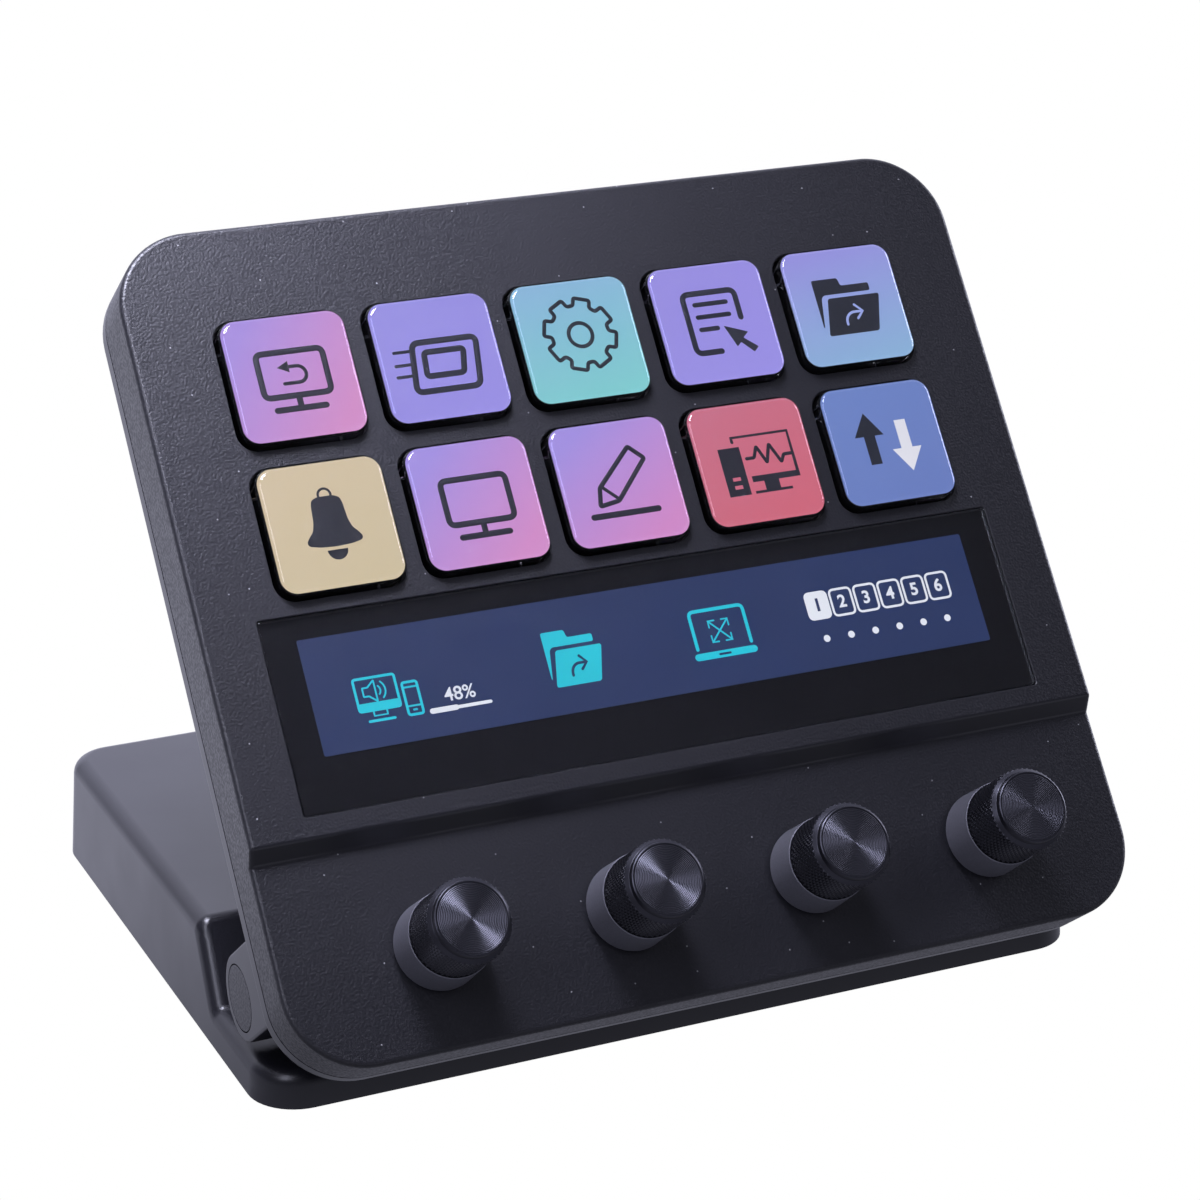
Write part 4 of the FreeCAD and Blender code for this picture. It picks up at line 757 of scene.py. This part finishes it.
def arc(centre, radius, start, end, steps=10):
    """Points along an arc between two angles in degrees."""
    angles = [math.radians(start + (end - start) * i / steps) for i in range(steps + 1)]
    return [(centre[0] + radius * math.cos(a), centre[1] + radius * math.sin(a)) for a in angles]


def bent(points, radius, closed, steps=5):
    """The points of an outline with each corner replaced by a curve that starts a radius away."""
    if not radius:
        return points
    places = [Vector(point) for point in points]
    count = len(places)
    made = []
    for i, place in enumerate(places):
        if not closed and i in (0, count - 1):
            made.append(place)
            continue
        before = places[i - 1]
        after = places[(i + 1) % count]
        reach = min(radius, (before - place).length / 2, (after - place).length / 2)
        start = place + (before - place).normalized() * reach
        end = place + (after - place).normalized() * reach
        for step in range(steps + 1):
            t = step / steps
            made.append(start * (1 - t) ** 2 + place * 2 * t * (1 - t) + end * t**2)
    return [(place.x, place.y) for place in made]


def curve_mesh(curve):
    """Turn a curve into a mesh object."""
    deselect()
    obj = bpy.data.objects.new("drawing", curve)
    bpy.context.scene.collection.objects.link(obj)
    focus(obj)
    bpy.ops.object.convert(target="MESH")
    return bpy.context.object


def line(points, width=LINE, closed=False, bend=0.0):
    """A drawn line with round ends and bent corners: a tube pressed flat."""
    points = bent(points, bend, closed)
    places = [(point, 1.0) for point in points]
    if not closed:
        for end, inner in ((0, 1), (-1, -2)):
            tip = Vector(points[end])
            step = (tip - Vector(points[inner])).normalized() * width / 2
            ring = [(math.sin(math.radians(a)), math.cos(math.radians(a))) for a in CAP_ANGLES]
            caps = [(tuple(tip + step * reach), radius) for reach, radius in ring]
            places = caps[::-1] + places if end == 0 else places + caps
    curve = bpy.data.curves.new("line", "CURVE")
    curve.dimensions = "3D"
    curve.bevel_depth = width / 2
    curve.bevel_resolution = 1
    curve.use_fill_caps = True
    spline = curve.splines.new("POLY")
    spline.points.add(len(places) - 1)
    for point, (place, radius) in zip(spline.points, places):
        point.co = (*place, 0.0, 1.0)
        point.radius = radius
    spline.use_cyclic_u = closed
    obj = curve_mesh(curve)
    obj.scale.z = LINE_THICKNESS / width
    bpy.ops.object.transform_apply()
    return obj


def bar(left, right, height, width=LINE):
    """A level line from left to right."""
    return line([(left, height), (right, height)], width)


def patch(*outlines, bend=0.0):
    """A filled patch of a picture. Outlines after the first are holes in it."""
    curve = bpy.data.curves.new("patch", "CURVE")
    curve.dimensions = "2D"
    curve.fill_mode = "BOTH"
    curve.extrude = LINE_THICKNESS / 2
    for outline in outlines:
        points = bent(outline, bend, True)
        spline = curve.splines.new("POLY")
        spline.points.add(len(points) - 1)
        for point, place in zip(spline.points, points):
            point.co = (*place, 0.0, 1.0)
        spline.use_cyclic_u = True
    return curve_mesh(curve)


def box_points(left, bottom, right, top):
    """The corners of an upright rectangle."""
    return [(left, bottom), (right, bottom), (right, top), (left, top)]


def figures(words, height, middle, weight=0.0):
    """Figures of a height, centred on a point."""
    deselect()
    bpy.ops.object.text_add(location=(middle[0], middle[1], 0))
    obj = bpy.context.object
    obj.data.body = words
    obj.data.size = height / FIGURE_SHARE
    obj.data.align_x = "CENTER"
    obj.data.align_y = "CENTER"
    obj.data.offset = weight
    obj.data.extrude = LINE_THICKNESS / 2
    bpy.ops.object.convert(target="MESH")
    bpy.ops.object.transform_apply()
    return bpy.context.object


def monitor():
    """A monitor on its foot."""
    return [
        line(box_points(-5.1, -2.95, 5.1, 3.9), closed=True, bend=1.0),
        line([(0, -3.3), (0, -4.8)]),
        bar(-3.7, 3.75, -4.95),
    ]


def monitor_with_undo():
    """A monitor with an arrow that turns back."""
    hook = [(-0.8, 1.54)] + arc((0.65, 0.27), 1.27, 90, -90) + [(-1.65, -1.0)]
    arrow = [line(hook, 0.56), patch([(-2.3, 1.54), (-0.5, 2.45), (-0.5, 0.65)])]
    return monitor() + arrow


def moving_window():
    """A slanted window in a window with three trailing lines."""
    frame_outline = [(-4.85, -5.04), (5.23, -5.04), (6.3, 2.65), (-3.85, 2.65)]
    inner_outline = [(-2.65, -2.73), (3.2, -2.73), (3.96, 1.04), (-2.3, 1.04)]
    trails = [(-6.9, -4.1, 1.5), (-7.08, -4.6, -0.58), (-7.2, -4.9, -2.35)]
    parts = [line(frame_outline, 0.95, closed=True, bend=1.1)]
    parts.append(line(inner_outline, closed=True, bend=0.6))
    return parts + [bar(*trail, 0.5) for trail in trails]


def gear():
    """A gear wheel with eight teeth round a ring."""
    outline = []
    for tooth in range(8):
        middle = 28.8 + 45 * tooth
        for turn, radius in ((-16, 4.65), (-12.5, 5.85), (12.5, 5.85), (16, 4.65)):
            outline += arc((0.2, 0.8), radius, middle + turn, middle + turn, 1)[:1]
    ring = arc((0.2, 0.7), 1.9, 0, 360, 32)[:-1]
    return [line(outline, 0.62, closed=True, bend=0.35), line(ring, 0.62, closed=True)]


def document_with_pointer():
    """A page with three lines of text and a pointer over its corner."""
    page = [(4.25, 0.27), (4.25, 4.88), (-4.56, 4.88), (-4.56, -4.8), (-0.45, -4.8)]
    pointer = [(0.98, -0.81), (4.75, -2.23), (3.7, -3.1), (5.82, -4.8)]
    pointer += [(4.94, -5.58), (3.13, -3.77), (2.36, -4.42)]
    text = [(2.44, 3.04), (2.44, 1.0), (-0.06, -1.04)]
    parts = [line(page, bend=1.1)] + [bar(-2.83, end, height, 0.75) for end, height in text]
    return parts + [patch(pointer, bend=0.15)]


FOLDER_BACK = [(-5.1, -3.2), (-5.1, 4.58), (-0.6, 4.58), (-0.3, 3.27), (4.52, 3.27)]
FOLDER_BACK += [(4.52, 1.96), (-3.6, 1.96), (-4.1, 1.5), (-4.95, -3.4)]
FOLDER_FRONT = [(-4.5, -4.8), (4.2, -4.8), (5.87, 1.35), (-3.1, 1.35)]


def placed(points, scale, middle):
    """The points of a drawing, scaled and then moved to a middle."""
    return [(middle[0] + x * scale[0], middle[1] + y * scale[1]) for x, y in points]


def folder(scale=(1.0, 1.0), middle=(0.0, 0.0)):
    """An open folder, scaled about its middle."""
    back = patch(placed(FOLDER_BACK, scale, middle), bend=0.35)
    return [back, patch(placed(FOLDER_FRONT, scale, middle), bend=0.45)]


def folder_arrow(scale=(1.0, 1.0), middle=(0.0, 0.0)):
    """The curved arrow on an open folder."""
    shaft = [(-0.87, -3.2)] + arc((0.75, -2.9), 1.62, 178, 95, 6) + [(2.1, -1.27)]
    head = [(1.06, -0.12), (2.25, -1.27), (1.13, -2.4)]
    return [line(placed(points, scale, middle), 0.42) for points in (shaft, head)]


def bell():
    """A hand bell with its clapper."""
    half = [(0.0, 4.3), (1.2, 4.3), (2.15, 3.9), (2.4, 3.0), (2.6, 0.54), (3.0, -0.8)]
    half += [(3.75, -1.6), (4.25, -2.35), (4.0, -2.9), (2.4, -3.25), (0.0, -3.4)]
    body = half + [(-x, y) for x, y in half[-2:0:-1]]
    clapper = arc((0.0, -3.85), 1.55, 180, 360, 12)
    return [
        patch(body, bend=0.4),
        patch(clapper),
        line(arc((0.0, 4.5), 0.95, 200, -20, 12), 0.38),
    ]


def pencil():
    """A pencil over a ruled line."""
    outline = [(-3.4, -0.6), (2.7, 5.2), (4.85, 3.1), (-0.85, -2.9), (-4.0, -3.4)]
    return [
        line(outline, 0.72, closed=True, bend=0.3),
        line([(-2.9, -0.6), (-0.85, -2.6)], 0.55),
        bar(-5.5, 5.0, -4.95, 0.95),
    ]


def computer_with_wave():
    """A computer and a monitor that shows a wave."""
    wave = [(-1.44, 0.62), (-0.17, 0.62), (0.6, 2.35), (1.75, -0.42), (2.79, 2.46), (4.13, -0.62)]
    wave += [(4.79, 0.54), (6.2, 0.54)]
    slots = [box_points(-4.6, -2.65, -3.29, -2.08), box_points(-4.6, -3.96, -3.29, -3.38)]
    return [
        patch(box_points(-5.8, -5.04, -2.2, 2.65), *slots),
        line([(-3.1, 3.5), (-3.1, 4.19), (6.33, 4.19), (6.33, -2.6)], 0.55),
        patch(box_points(-1.44, -3.19, 6.6, -2.23)),
        patch(box_points(0.4, -4.65, 2.87, -3.19)),
        patch(box_points(-1.44, -5.04, 4.79, -4.62)),
        line(wave, 0.55, bend=0.25),
    ]


def block_arrow(middle, height, turn):
    """A broad straight arrow that points up, or down where turn is -1."""
    half = height / 2
    points = [(-0.95, -half), (0.95, -half), (0.95, 0.4), (2.5, 0.4), (0.0, half)]
    points += [(-2.5, 0.4), (-0.95, 0.4)]
    return [patch(placed(points, (1, turn), middle))]


KEY_PICTURES = {
    "1_1": monitor_with_undo,
    "1_2": moving_window,
    "1_3": gear,
    "1_4": document_with_pointer,
    "1_5": folder,
    "2_1": bell,
    "2_2": monitor,
    "2_3": pencil,
    "2_4": computer_with_wave,
}


def lay(name, parts, middle, level, body, material):
    """Join the parts of one picture, lay them on their level and fix them to their body."""
    piece = join(name, parts)
    piece.location = (middle[0], middle[1], level + LINE_THICKNESS / 4)
    bpy.ops.object.transform_apply()
    seat(piece, body, material, "display")


def lay_on_key(name, parts, key, material, lift=0.0):
    """Lay a picture on the lit plate of a key, lifted where it lies over another picture."""
    level = panel_box("key_cap_1_1")[1].z - TILE_DEPTH + lift
    lay(name, parts, panel_middle(f"key_cap_{key}"), level, f"key_{key}", material)


def lay_on_strip(name, parts, material, lift=0.0):
    """Lay a picture on the lit ground of the strip, lifted where it lies over another."""
    level = panel_box("strip_glass")[0].z + PRINT_RISE + PRINT_THICKNESS + GROUND_RISE + lift
    lay(name, parts, (0, 0), level, "panel", material)


class KEYPAD_OT_key_pictures(bpy.types.Operator):
    """Draw the picture on each key"""

    bl_idname = "keypad.key_pictures"
    bl_label = "Key pictures"

    def execute(self, context):
        colours = context.scene.keypad_colours
        ink = lit_picture("picture_ink", colours.ink)
        for key, draw in KEY_PICTURES.items():
            lay_on_key(f"picture_{key}", draw(), key, ink)
        pale = lit_picture("picture_pale_blue", linear("#9AA8E4"))
        lay_on_key("picture_1_5_arrow", folder_arrow(), "1_5", pale, LINE_LIFT)
        lay_on_key("picture_2_5_up", block_arrow((-2.9, 0.9), 8.4, 1), "2_5", ink)
        white = lit_picture("picture_white", linear("#E2E2EC"))
        lay_on_key("picture_2_5_down", block_arrow((2.9, -0.9), 8.4, -1), "2_5", white)
        return {"FINISHED"}


class KEYPAD_OT_strip(bpy.types.Operator):
    """Model the glass strip with its black print and lit ground"""

    bl_idname = "keypad.strip"
    bl_label = "Touch strip"

    def execute(self, context):
        colours = context.scene.keypad_colours
        low, high = panel_box("strip_glass")
        glass = block("clear_strip", low, high, GLASS_CORNER, 6)
        round_edges(glass, is_rim, context.scene.keypad_sizes.glass_edge / MM, 2)
        smooth(glass)
        seat(glass, "panel", strip_glass(), "strip_glass", "strip_glass")
        floor = low.z + PRINT_RISE
        inset = Vector((PRINT_INSET, PRINT_INSET, 0))
        start = Vector((low.x, low.y, floor)) + inset
        end = Vector((high.x, high.y, floor + PRINT_THICKNESS)) - inset
        ink = block("strip_print", start, end, GLASS_CORNER / 2, 6)
        seat(ink, "panel", bpy.data.materials["black_screen_print"], "display")
        half = Vector((STRIP_WIDTH / 2, STRIP_HEIGHT / 2))
        top = floor + PRINT_THICKNESS
        start = (-half.x, STRIP_CENTRE - half.y, top - GROUND_SINK)
        end = (half.x, STRIP_CENTRE + half.y, top + GROUND_RISE)
        ground = block("strip_ground", start, end, GROUND_CORNER, 3)
        seat(ground, "panel", lit_picture("lit_film_strip", colours.strip), "display")
        return {"FINISHED"}


def volume_picture():
    """A monitor with a loudspeaker, and a phone beside it."""
    speaker = [(-46.2, 34.7), (-46.2, 36.0), (-45.4, 36.0), (-44.3, 36.95)]
    speaker += [(-44.3, 33.8), (-45.4, 34.7)]
    return [
        line(box_points(-47.35, 32.6, -41.1, 37.4), 0.4, closed=True, bend=0.4),
        patch(box_points(-47.4, 32.5, -41.05, 33.75)),
        line([(-45.3, 32.5), (-45.3, 31.75), (-43.3, 31.75), (-43.3, 32.5)], 0.3),
        bar(-46.2, -42.4, 31.04, 0.4),
        line(speaker, 0.26, closed=True, bend=0.12),
        line(arc((-44.4, 35.4), 0.85, -45, 45, 8), 0.26),
        line(arc((-44.4, 35.4), 1.6, -48, 48, 8), 0.26),
        line(box_points(-40.25, 31.0, -38.0, 35.85), 0.4, closed=True, bend=0.4),
        bar(-40.2, -38.05, 35.1, 0.28),
        bar(-40.2, -38.05, 32.3, 0.28),
        bar(-39.35, -38.9, 31.7, 0.3),
    ]


def laptop_picture():
    """A laptop with four arrows that point to its corners."""
    parts = [
        line([(6.05, 33.3), (6.05, 39.1), (14.9, 39.1), (14.9, 33.3)], 0.55, bend=0.8),
        bar(5.85, 15.05, 32.1, 1.1),
    ]
    for across in (-1, 1):
        for up in (-1, 1):
            tip = (10.4 + 1.6 * across, 35.7 + 1.65 * up)
            parts.append(line([(10.4 + 0.1 * across, 35.7 + 0.1 * up), tip], 0.26))
            head = [(tip[0] - 1.0 * across, tip[1]), tip, (tip[0], tip[1] - 1.0 * up)]
            parts.append(line(head, 0.26))
    return parts


PAGE_FIRST = 27.16
PAGE_PITCH = 4.145
PAGE_HEIGHT = 36.95
PAGE_HALF = (1.78, 2.05)
PAGE_FIGURE = 1.95
DOT_HEIGHT = 31.7
DOT_RADIUS = 0.55


def page_places():
    """The middles of the six page boxes, from left to right."""
    return [(PAGE_FIRST + PAGE_PITCH * page, PAGE_HEIGHT) for page in range(6)]


def page_box(middle):
    """The corners of one page box."""
    (x, y), (across, up) = middle, PAGE_HALF
    return box_points(x - across, y - up, x + across, y + up)


def page_pictures():
    """Six numbered boxes, the first filled, with a dot under each."""
    parts = []
    for page, middle in enumerate(page_places()):
        parts.append(line(page_box(middle), 0.36, closed=True, bend=0.75))
        parts.append(patch(arc((middle[0], DOT_HEIGHT), DOT_RADIUS, 0, 360, 20)[:-1]))
        if page:
            parts.append(figures(str(page + 1), PAGE_FIGURE, middle, 0.07))
        else:
            parts.append(patch(page_box(middle), bend=0.75))
    return parts


class KEYPAD_OT_strip_pictures(bpy.types.Operator):
    """Draw the pictures and figures on the touch strip"""

    bl_idname = "keypad.strip_pictures"
    bl_label = "Strip pictures"

    def execute(self, context):
        colours = context.scene.keypad_colours
        cyan = lit_picture("picture_cyan", colours.cyan)
        white = lit_picture("picture_strip_white", colours.white)
        ground = bpy.data.materials["lit_film_strip"]
        at_folder = {"scale": (0.82, 0.9), "middle": (-13.5, 35.56)}
        lay_on_strip("strip_volume", volume_picture(), cyan)
        share = [bar(-36.7, -33.0, 31.0, 0.8), bar(-36.7, -27.7, 31.0, 0.5)]
        share.append(figures("48%", 2.05, (-32.0, 32.95), 0.03))
        lay_on_strip("strip_share", share, white)
        lay_on_strip("strip_folder", folder(**at_folder), cyan)
        lay_on_strip("strip_folder_arrow", folder_arrow(**at_folder), ground, LINE_LIFT)
        lay_on_strip("strip_laptop", laptop_picture(), cyan)
        lay_on_strip("strip_laptop_slot", [bar(9.4, 11.1, 32.1, 0.34)], ground, LINE_LIFT)
        lay_on_strip("strip_pages", page_pictures(), white)
        first = [figures("1", PAGE_FIGURE, page_places()[0], 0.1)]
        lay_on_strip("strip_first_page", first, ground, LINE_LIFT)
        return {"FINISHED"}


def knob_profile(sizes):
    """Radius and height of the knob's section, from its hollow round the outside to the axis."""
    rows = sizes.knurl_rows
    pitch = sizes.groove_pitch / MM
    depth = sizes.groove_depth / MM
    root = KNURL_SINK * sizes.knurl_depth / MM
    points = [
        (0.0, HOLLOW_DEPTH),
        (HOLLOW_RADIUS, HOLLOW_DEPTH),
        (HOLLOW_RADIUS, 0.0),
        (SKIRT_RADIUS - FOOT_CHAMFER, 0.0),
        (SKIRT_RADIUS, FOOT_CHAMFER),
        (SKIRT_TOP_RADIUS, SKIRT_HEIGHT - SKIRT_CHAMFER),
        (SKIRT_TOP_RADIUS - SKIRT_CHAMFER, SKIRT_HEIGHT),
        (GRIP_RADIUS - GRIP_STEP, SKIRT_HEIGHT),
    ]
    for row in range(rows):
        points.append((GRIP_RADIUS - root, GRIP_FOOT + (GRIP_TOP - GRIP_FOOT) * row / (rows - 1)))
    points += [
        (RIM_RADIUS, RIM_TOP),
        (RING_RADIUS + RING_BEVEL[0], RING_FOOT - RING_BEVEL[1]),
        (RING_RADIUS, RING_FOOT),
        (TOP_RADIUS + TOP_EDGE, KNOB_HEIGHT - TOP_EDGE),
        (TOP_RADIUS - TOP_LAND, KNOB_HEIGHT),
        (DISC_RADIUS, KNOB_HEIGHT),
    ]
    half_grooves = 2 * round(DISC_RADIUS / pitch)
    for half in range(1, half_grooves):
        radius = DISC_RADIUS * (1 - half / half_grooves)
        points.append((radius, KNOB_HEIGHT - depth * (half % 2)))
    points.append((0.0, KNOB_HEIGHT))
    return points


def spun(name, points, steps):
    """A closed round piece, spun from its section about the z axis."""
    deselect()
    bpy.ops.mesh.primitive_plane_add(size=1)
    obj = bpy.context.object
    obj.name = name
    edit(obj)
    bpy.ops.mesh.select_all(action="SELECT")
    bpy.ops.mesh.merge(type="CENTER")
    bpy.ops.mesh.select_mode(type="VERT")
    bpy.ops.mesh.select_all(action="SELECT")
    place = Vector((0, 0, 0))
    for index, (radius, height) in enumerate(points):
        step = Vector((radius, 0, height)) - place
        if index:
            bpy.ops.mesh.extrude_vertices_move(TRANSFORM_OT_translate={"value": step})
        else:
            bpy.ops.transform.translate(value=step)
        place += step
    bpy.ops.mesh.select_all(action="SELECT")
    bpy.ops.mesh.spin(steps=steps, angle=math.tau, center=(0, 0, 0), axis=(0, 0, 1))
    bpy.ops.mesh.select_all(action="SELECT")
    bpy.ops.mesh.remove_doubles(threshold=SLACK / 10)
    bpy.ops.mesh.normals_make_consistent(inside=False)
    leave_edit()
    return obj


def knurl(obj, rows, depth):
    """Raise a diamond knurl on the grip by lifting every other corner of its rings."""
    pitch = (GRIP_TOP - GRIP_FOOT) / (rows - 1)

    def is_point(corner):
        place = corner.co
        if not GRIP_FOOT - SLACK < place.z < GRIP_TOP + SLACK:
            return False
        turn = round(math.atan2(place.y, place.x) / math.tau * KNOB_STEPS)
        row = round((place.z - GRIP_FOOT) / pitch)
        return place.xy.length > HOLLOW_RADIUS + SLACK and (turn + row) % 2 == 0

    def is_grip(face):
        height = face.calc_center_median().z
        return GRIP_FOOT < height < RIM_TOP and face.normal.xy.length > GRIP_SLOPE

    edit(obj)
    pick(obj, "VERT", is_point)
    scale = 1 + depth / GRIP_RADIUS
    bpy.ops.transform.resize(value=(scale, scale, 1), center_override=(0, 0, 0))
    pick(obj, "FACE", is_grip)
    bpy.ops.mesh.quads_convert_to_tris(quad_method="SHORTEST_DIAGONAL")
    leave_edit()


class KEYPAD_OT_knobs(bpy.types.Operator):
    """Turn the knurled knobs"""

    bl_idname = "keypad.knobs"
    bl_label = "Knobs"

    def execute(self, context):
        sizes = context.scene.keypad_sizes
        colours = context.scene.keypad_colours
        metal = anodised_aluminium(colours.knob)
        # The skirt's material is the knob's metal in a lighter grey, which is painted light reflected from the
        # floor, with a bead-blast finish.
        blast_finish_painted_light = blast_finish_with_painted_light(colours.skirt)
        knob = spun("knob", knob_profile(sizes), KNOB_STEPS)
        knurl(knob, sizes.knurl_rows, sizes.knurl_depth / MM)
        smooth(knob)
        # Faces below the grip take the skirt's lighter metal, whose grey is painted light reflected from the
        # floor.
        painted_light_faces = [polygon.center.z < SKIRT_HEIGHT for polygon in knob.data.polygons]
        for index in KNOBS:
            node = f"knob_{index}"
            step = panel_middle(node)
            step.z = panel_box(node)[0].z
            piece = copy_to(knob, f"turned_knob_{index}", step)
            seat(piece, node, metal, "knob", node)
            piece.data.materials.append(blast_finish_painted_light)
            for polygon, is_painted_light_face in zip(piece.data.polygons, painted_light_faces):
                polygon.material_index = int(is_painted_light_face)
        bpy.data.objects.remove(knob)
        return {"FINISHED"}


class KEYPAD_OT_kept_solids(bpy.types.Operator):
    """Give the solids that stay visible their finishes and smooth shading"""

    bl_idname = "keypad.kept_solids"
    bl_label = "Kept solids"

    def execute(self, context):
        sizes = context.scene.keypad_sizes
        colours = context.scene.keypad_colours
        grained = grained_abs(colours.face, sizes.grain / MM, sizes.grain_depth / MM)
        satin = satin_abs(colours.body)
        bare = steel("bare_steel", "#9A9CA0", 0.32)
        film = display_film()
        finishes = {
            "stand_plastic": satin,
            "panel_plastic": satin,
            "silicone": silicone(),
            "steel": bare,
            "black_steel": steel("black_zinc_plated_steel", "#2A2A2D", 0.38),
            "board": solder_mask(),
            "ribbon": polyimide(),
            "encoder": moulded_nylon(),
            "display": film,
            "strip_glass": film,
            "clear_acrylic": film,
            "knob": bare,
        }
        for part in frame["record"]["subparts"]:
            node = frame["nodes"][part["node"]]
            node.data.materials.clear()
            capped = part["node"].startswith("hinge_cap")
            node.data.materials.append(grained if capped else finishes[part["material_slot"]])
            focus(node)
            bpy.ops.object.shade_smooth()
            weld = node.modifiers.new("weld", "WELD")
            weld.merge_threshold = WELD_REACH
            split = node.modifiers.new("split", "EDGE_SPLIT")
            split.split_angle = SMOOTH_ANGLE
            node.modifiers.new("normals", "WEIGHTED_NORMAL")
        return {"FINISHED"}


# The studio has a bright backdrop behind the keypad and dim walls in front of it, so that
# black plastic stays black where it faces the camera. Places and sizes are in metres.
BACKDROP = (0.35, 0.9, 0.25)
STUDIO_LIGHT = "#E7E8FF"
FLOOR_RADIUS = 4.0
KEYPAD_MIDDLE = (0, 0, 0.08)
UPPER_LEFT_KEYS = (-0.065, 0.075, 0.1)


def make_world(scene):
    """A room that is dim all round and bright at the backdrop."""
    world = bpy.data.worlds.new("studio")
    world.use_nodes = True
    tree = world.node_tree
    tree.nodes.clear()
    place = add_node(tree, "TexCoord")
    inputs = {0: place.outputs["Generated"], 1: BACKDROP}
    facing = add_node(tree, "VectorMath", inputs, operation="DOT_PRODUCT").outputs["Value"]
    light = spread(tree, facing, low=0.16, high=1.55, start=0.3, end=0.95, easing="SMOOTHSTEP")
    inputs = {"Color": linear(STUDIO_LIGHT), "Strength": light}
    background = add_node(tree, "Background", inputs)
    add_node(tree, "OutputWorld", {"Surface": background.outputs["Background"]})
    scene.world = world


def add_light(name, place, aim, size, power, beam=180):
    """A soft light of a width and height, aimed at a point, with its beam in degrees."""
    deselect()
    bpy.ops.object.light_add(type="AREA", location=place)
    light = bpy.context.object
    light.name = name
    light.data.shape = "RECTANGLE"
    light.data.size = size[0]
    light.data.size_y = size[1]
    light.data.energy = power
    light.data.spread = math.radians(beam)
    light.data.color = linear(STUDIO_LIGHT)[:3]
    light.rotation_euler = (Vector(aim) - Vector(place)).to_track_quat("-Z", "Y").to_euler()


def pale_paper():
    """Seamless white paper: pure white to the camera; to all other rays it gives off painted light, brighter
    behind the keypad and far in front of it, with painted shade close in front of it.
    """
    material, tree = new_material("seamless_white_paper")
    place = add_node(tree, "TexCoord")
    axes = add_node(tree, "SeparateXYZ", {"Vector": place.outputs["Object"]})
    depth = axes.outputs["Y"]
    # Painted light on the floor, seen only in reflections: it rises towards the back and far in front, and stays
    # low close in front of the keypad as painted shade.
    behind = spread(tree, depth, low=0.15, high=1.25, start=-0.12, end=0.09, easing="SMOOTHSTEP")
    painted_light_far_ahead = spread(tree, depth, low=0.0, high=0.4, start=-0.09, end=-0.14, easing="SMOOTHSTEP")
    painted_glow = add_node(tree, "Math", {0: behind, 1: painted_light_far_ahead}, operation="ADD")
    inputs = {"Color": linear(STUDIO_LIGHT), "Strength": painted_glow.outputs["Value"]}
    painted_floor_light = add_node(tree, "Emission", inputs).outputs["Emission"]
    inputs = {"Color": linear("#FFFFFF"), "Strength": 1.0}
    white = add_node(tree, "Emission", inputs).outputs["Emission"]
    path = add_node(tree, "LightPath")
    inputs = {0: path.outputs["Is Camera Ray"], 1: painted_floor_light, 2: white}
    mix = add_node(tree, "MixShader", inputs)
    add_node(tree, "OutputMaterial", {"Surface": mix.outputs["Shader"]})
    return material


class KEYPAD_OT_stage(bpy.types.Operator):
    """Set up the floor, the studio light and the camera"""

    bl_idname = "keypad.stage"
    bl_label = "Stage"

    def execute(self, context):
        scene = context.scene
        deselect()
        bpy.ops.mesh.primitive_circle_add(vertices=64, radius=FLOOR_RADIUS, fill_type="NGON")
        floor = context.object
        floor.name = "floor"
        floor.data.materials.append(pale_paper())
        make_world(scene)
        add_light("soft_box", (-0.1, 0.02, 0.41), UPPER_LEFT_KEYS, (0.2, 0.2), 0.68, beam=50)
        add_light("left_strip", (-0.45, -0.37, 0.58), KEYPAD_MIDDLE, (0.2, 0.45), 1.8)
        add_light("right_strip", (0.6, 0.04, 0.22), KEYPAD_MIDDLE, (0.2, 0.4), 2.0)
        camera_data = bpy.data.cameras.new("camera")
        camera_data.lens = CAMERA_LENS
        camera_data.clip_start = 0.01
        camera = bpy.data.objects.new("camera", camera_data)
        camera.location = CAMERA_PLACE
        camera.rotation_euler = [math.radians(angle) for angle in CAMERA_TURN]
        scene.collection.objects.link(camera)
        scene.camera = camera
        scene.view_settings.view_transform = "Standard"
        return {"FINISHED"}


OPERATORS = (
    KEYPAD_OT_kept_solids,
    KEYPAD_OT_front_cover,
    KEYPAD_OT_key_caps,
    KEYPAD_OT_key_pictures,
    KEYPAD_OT_strip,
    KEYPAD_OT_strip_pictures,
    KEYPAD_OT_knobs,
    KEYPAD_OT_stage,
)


class KEYPAD_PT_panel(bpy.types.Panel):
    """Lists the operators that model the keypad, with its sizes and colours"""

    bl_idname = "KEYPAD_PT_panel"
    bl_label = "Desk Keypad"
    bl_space_type = "VIEW_3D"
    bl_region_type = "UI"
    bl_category = "Keypad"

    def draw(self, context):
        for group in (context.scene.keypad_sizes, context.scene.keypad_colours):
            column = self.layout.column()
            for name in group.__annotations__:
                column.prop(group, name)
        for operator in OPERATORS:
            self.layout.operator(operator.bl_idname)


CLASSES = (KeypadSizes, KeypadColours, *OPERATORS, KEYPAD_PT_panel)


def register():
    """Register the classes and attach the settings to the scene."""
    for cls in CLASSES:
        bpy.utils.register_class(cls)
    bpy.types.Scene.keypad_sizes = bpy.props.PointerProperty(type=KeypadSizes)
    bpy.types.Scene.keypad_colours = bpy.props.PointerProperty(type=KeypadColours)


def unregister():
    """Remove the settings and the classes again."""
    del bpy.types.Scene.keypad_colours
    del bpy.types.Scene.keypad_sizes
    for cls in reversed(CLASSES):
        bpy.utils.unregister_class(cls)


def main():
    """Model every piece in order."""
    register()
    bpy.ops.keypad.kept_solids()
    bpy.ops.keypad.front_cover()
    bpy.ops.keypad.key_caps()
    bpy.ops.keypad.key_pictures()
    bpy.ops.keypad.strip()
    bpy.ops.keypad.strip_pictures()
    bpy.ops.keypad.knobs()
    bpy.ops.keypad.stage()


if __name__ == "__main__":
    main()
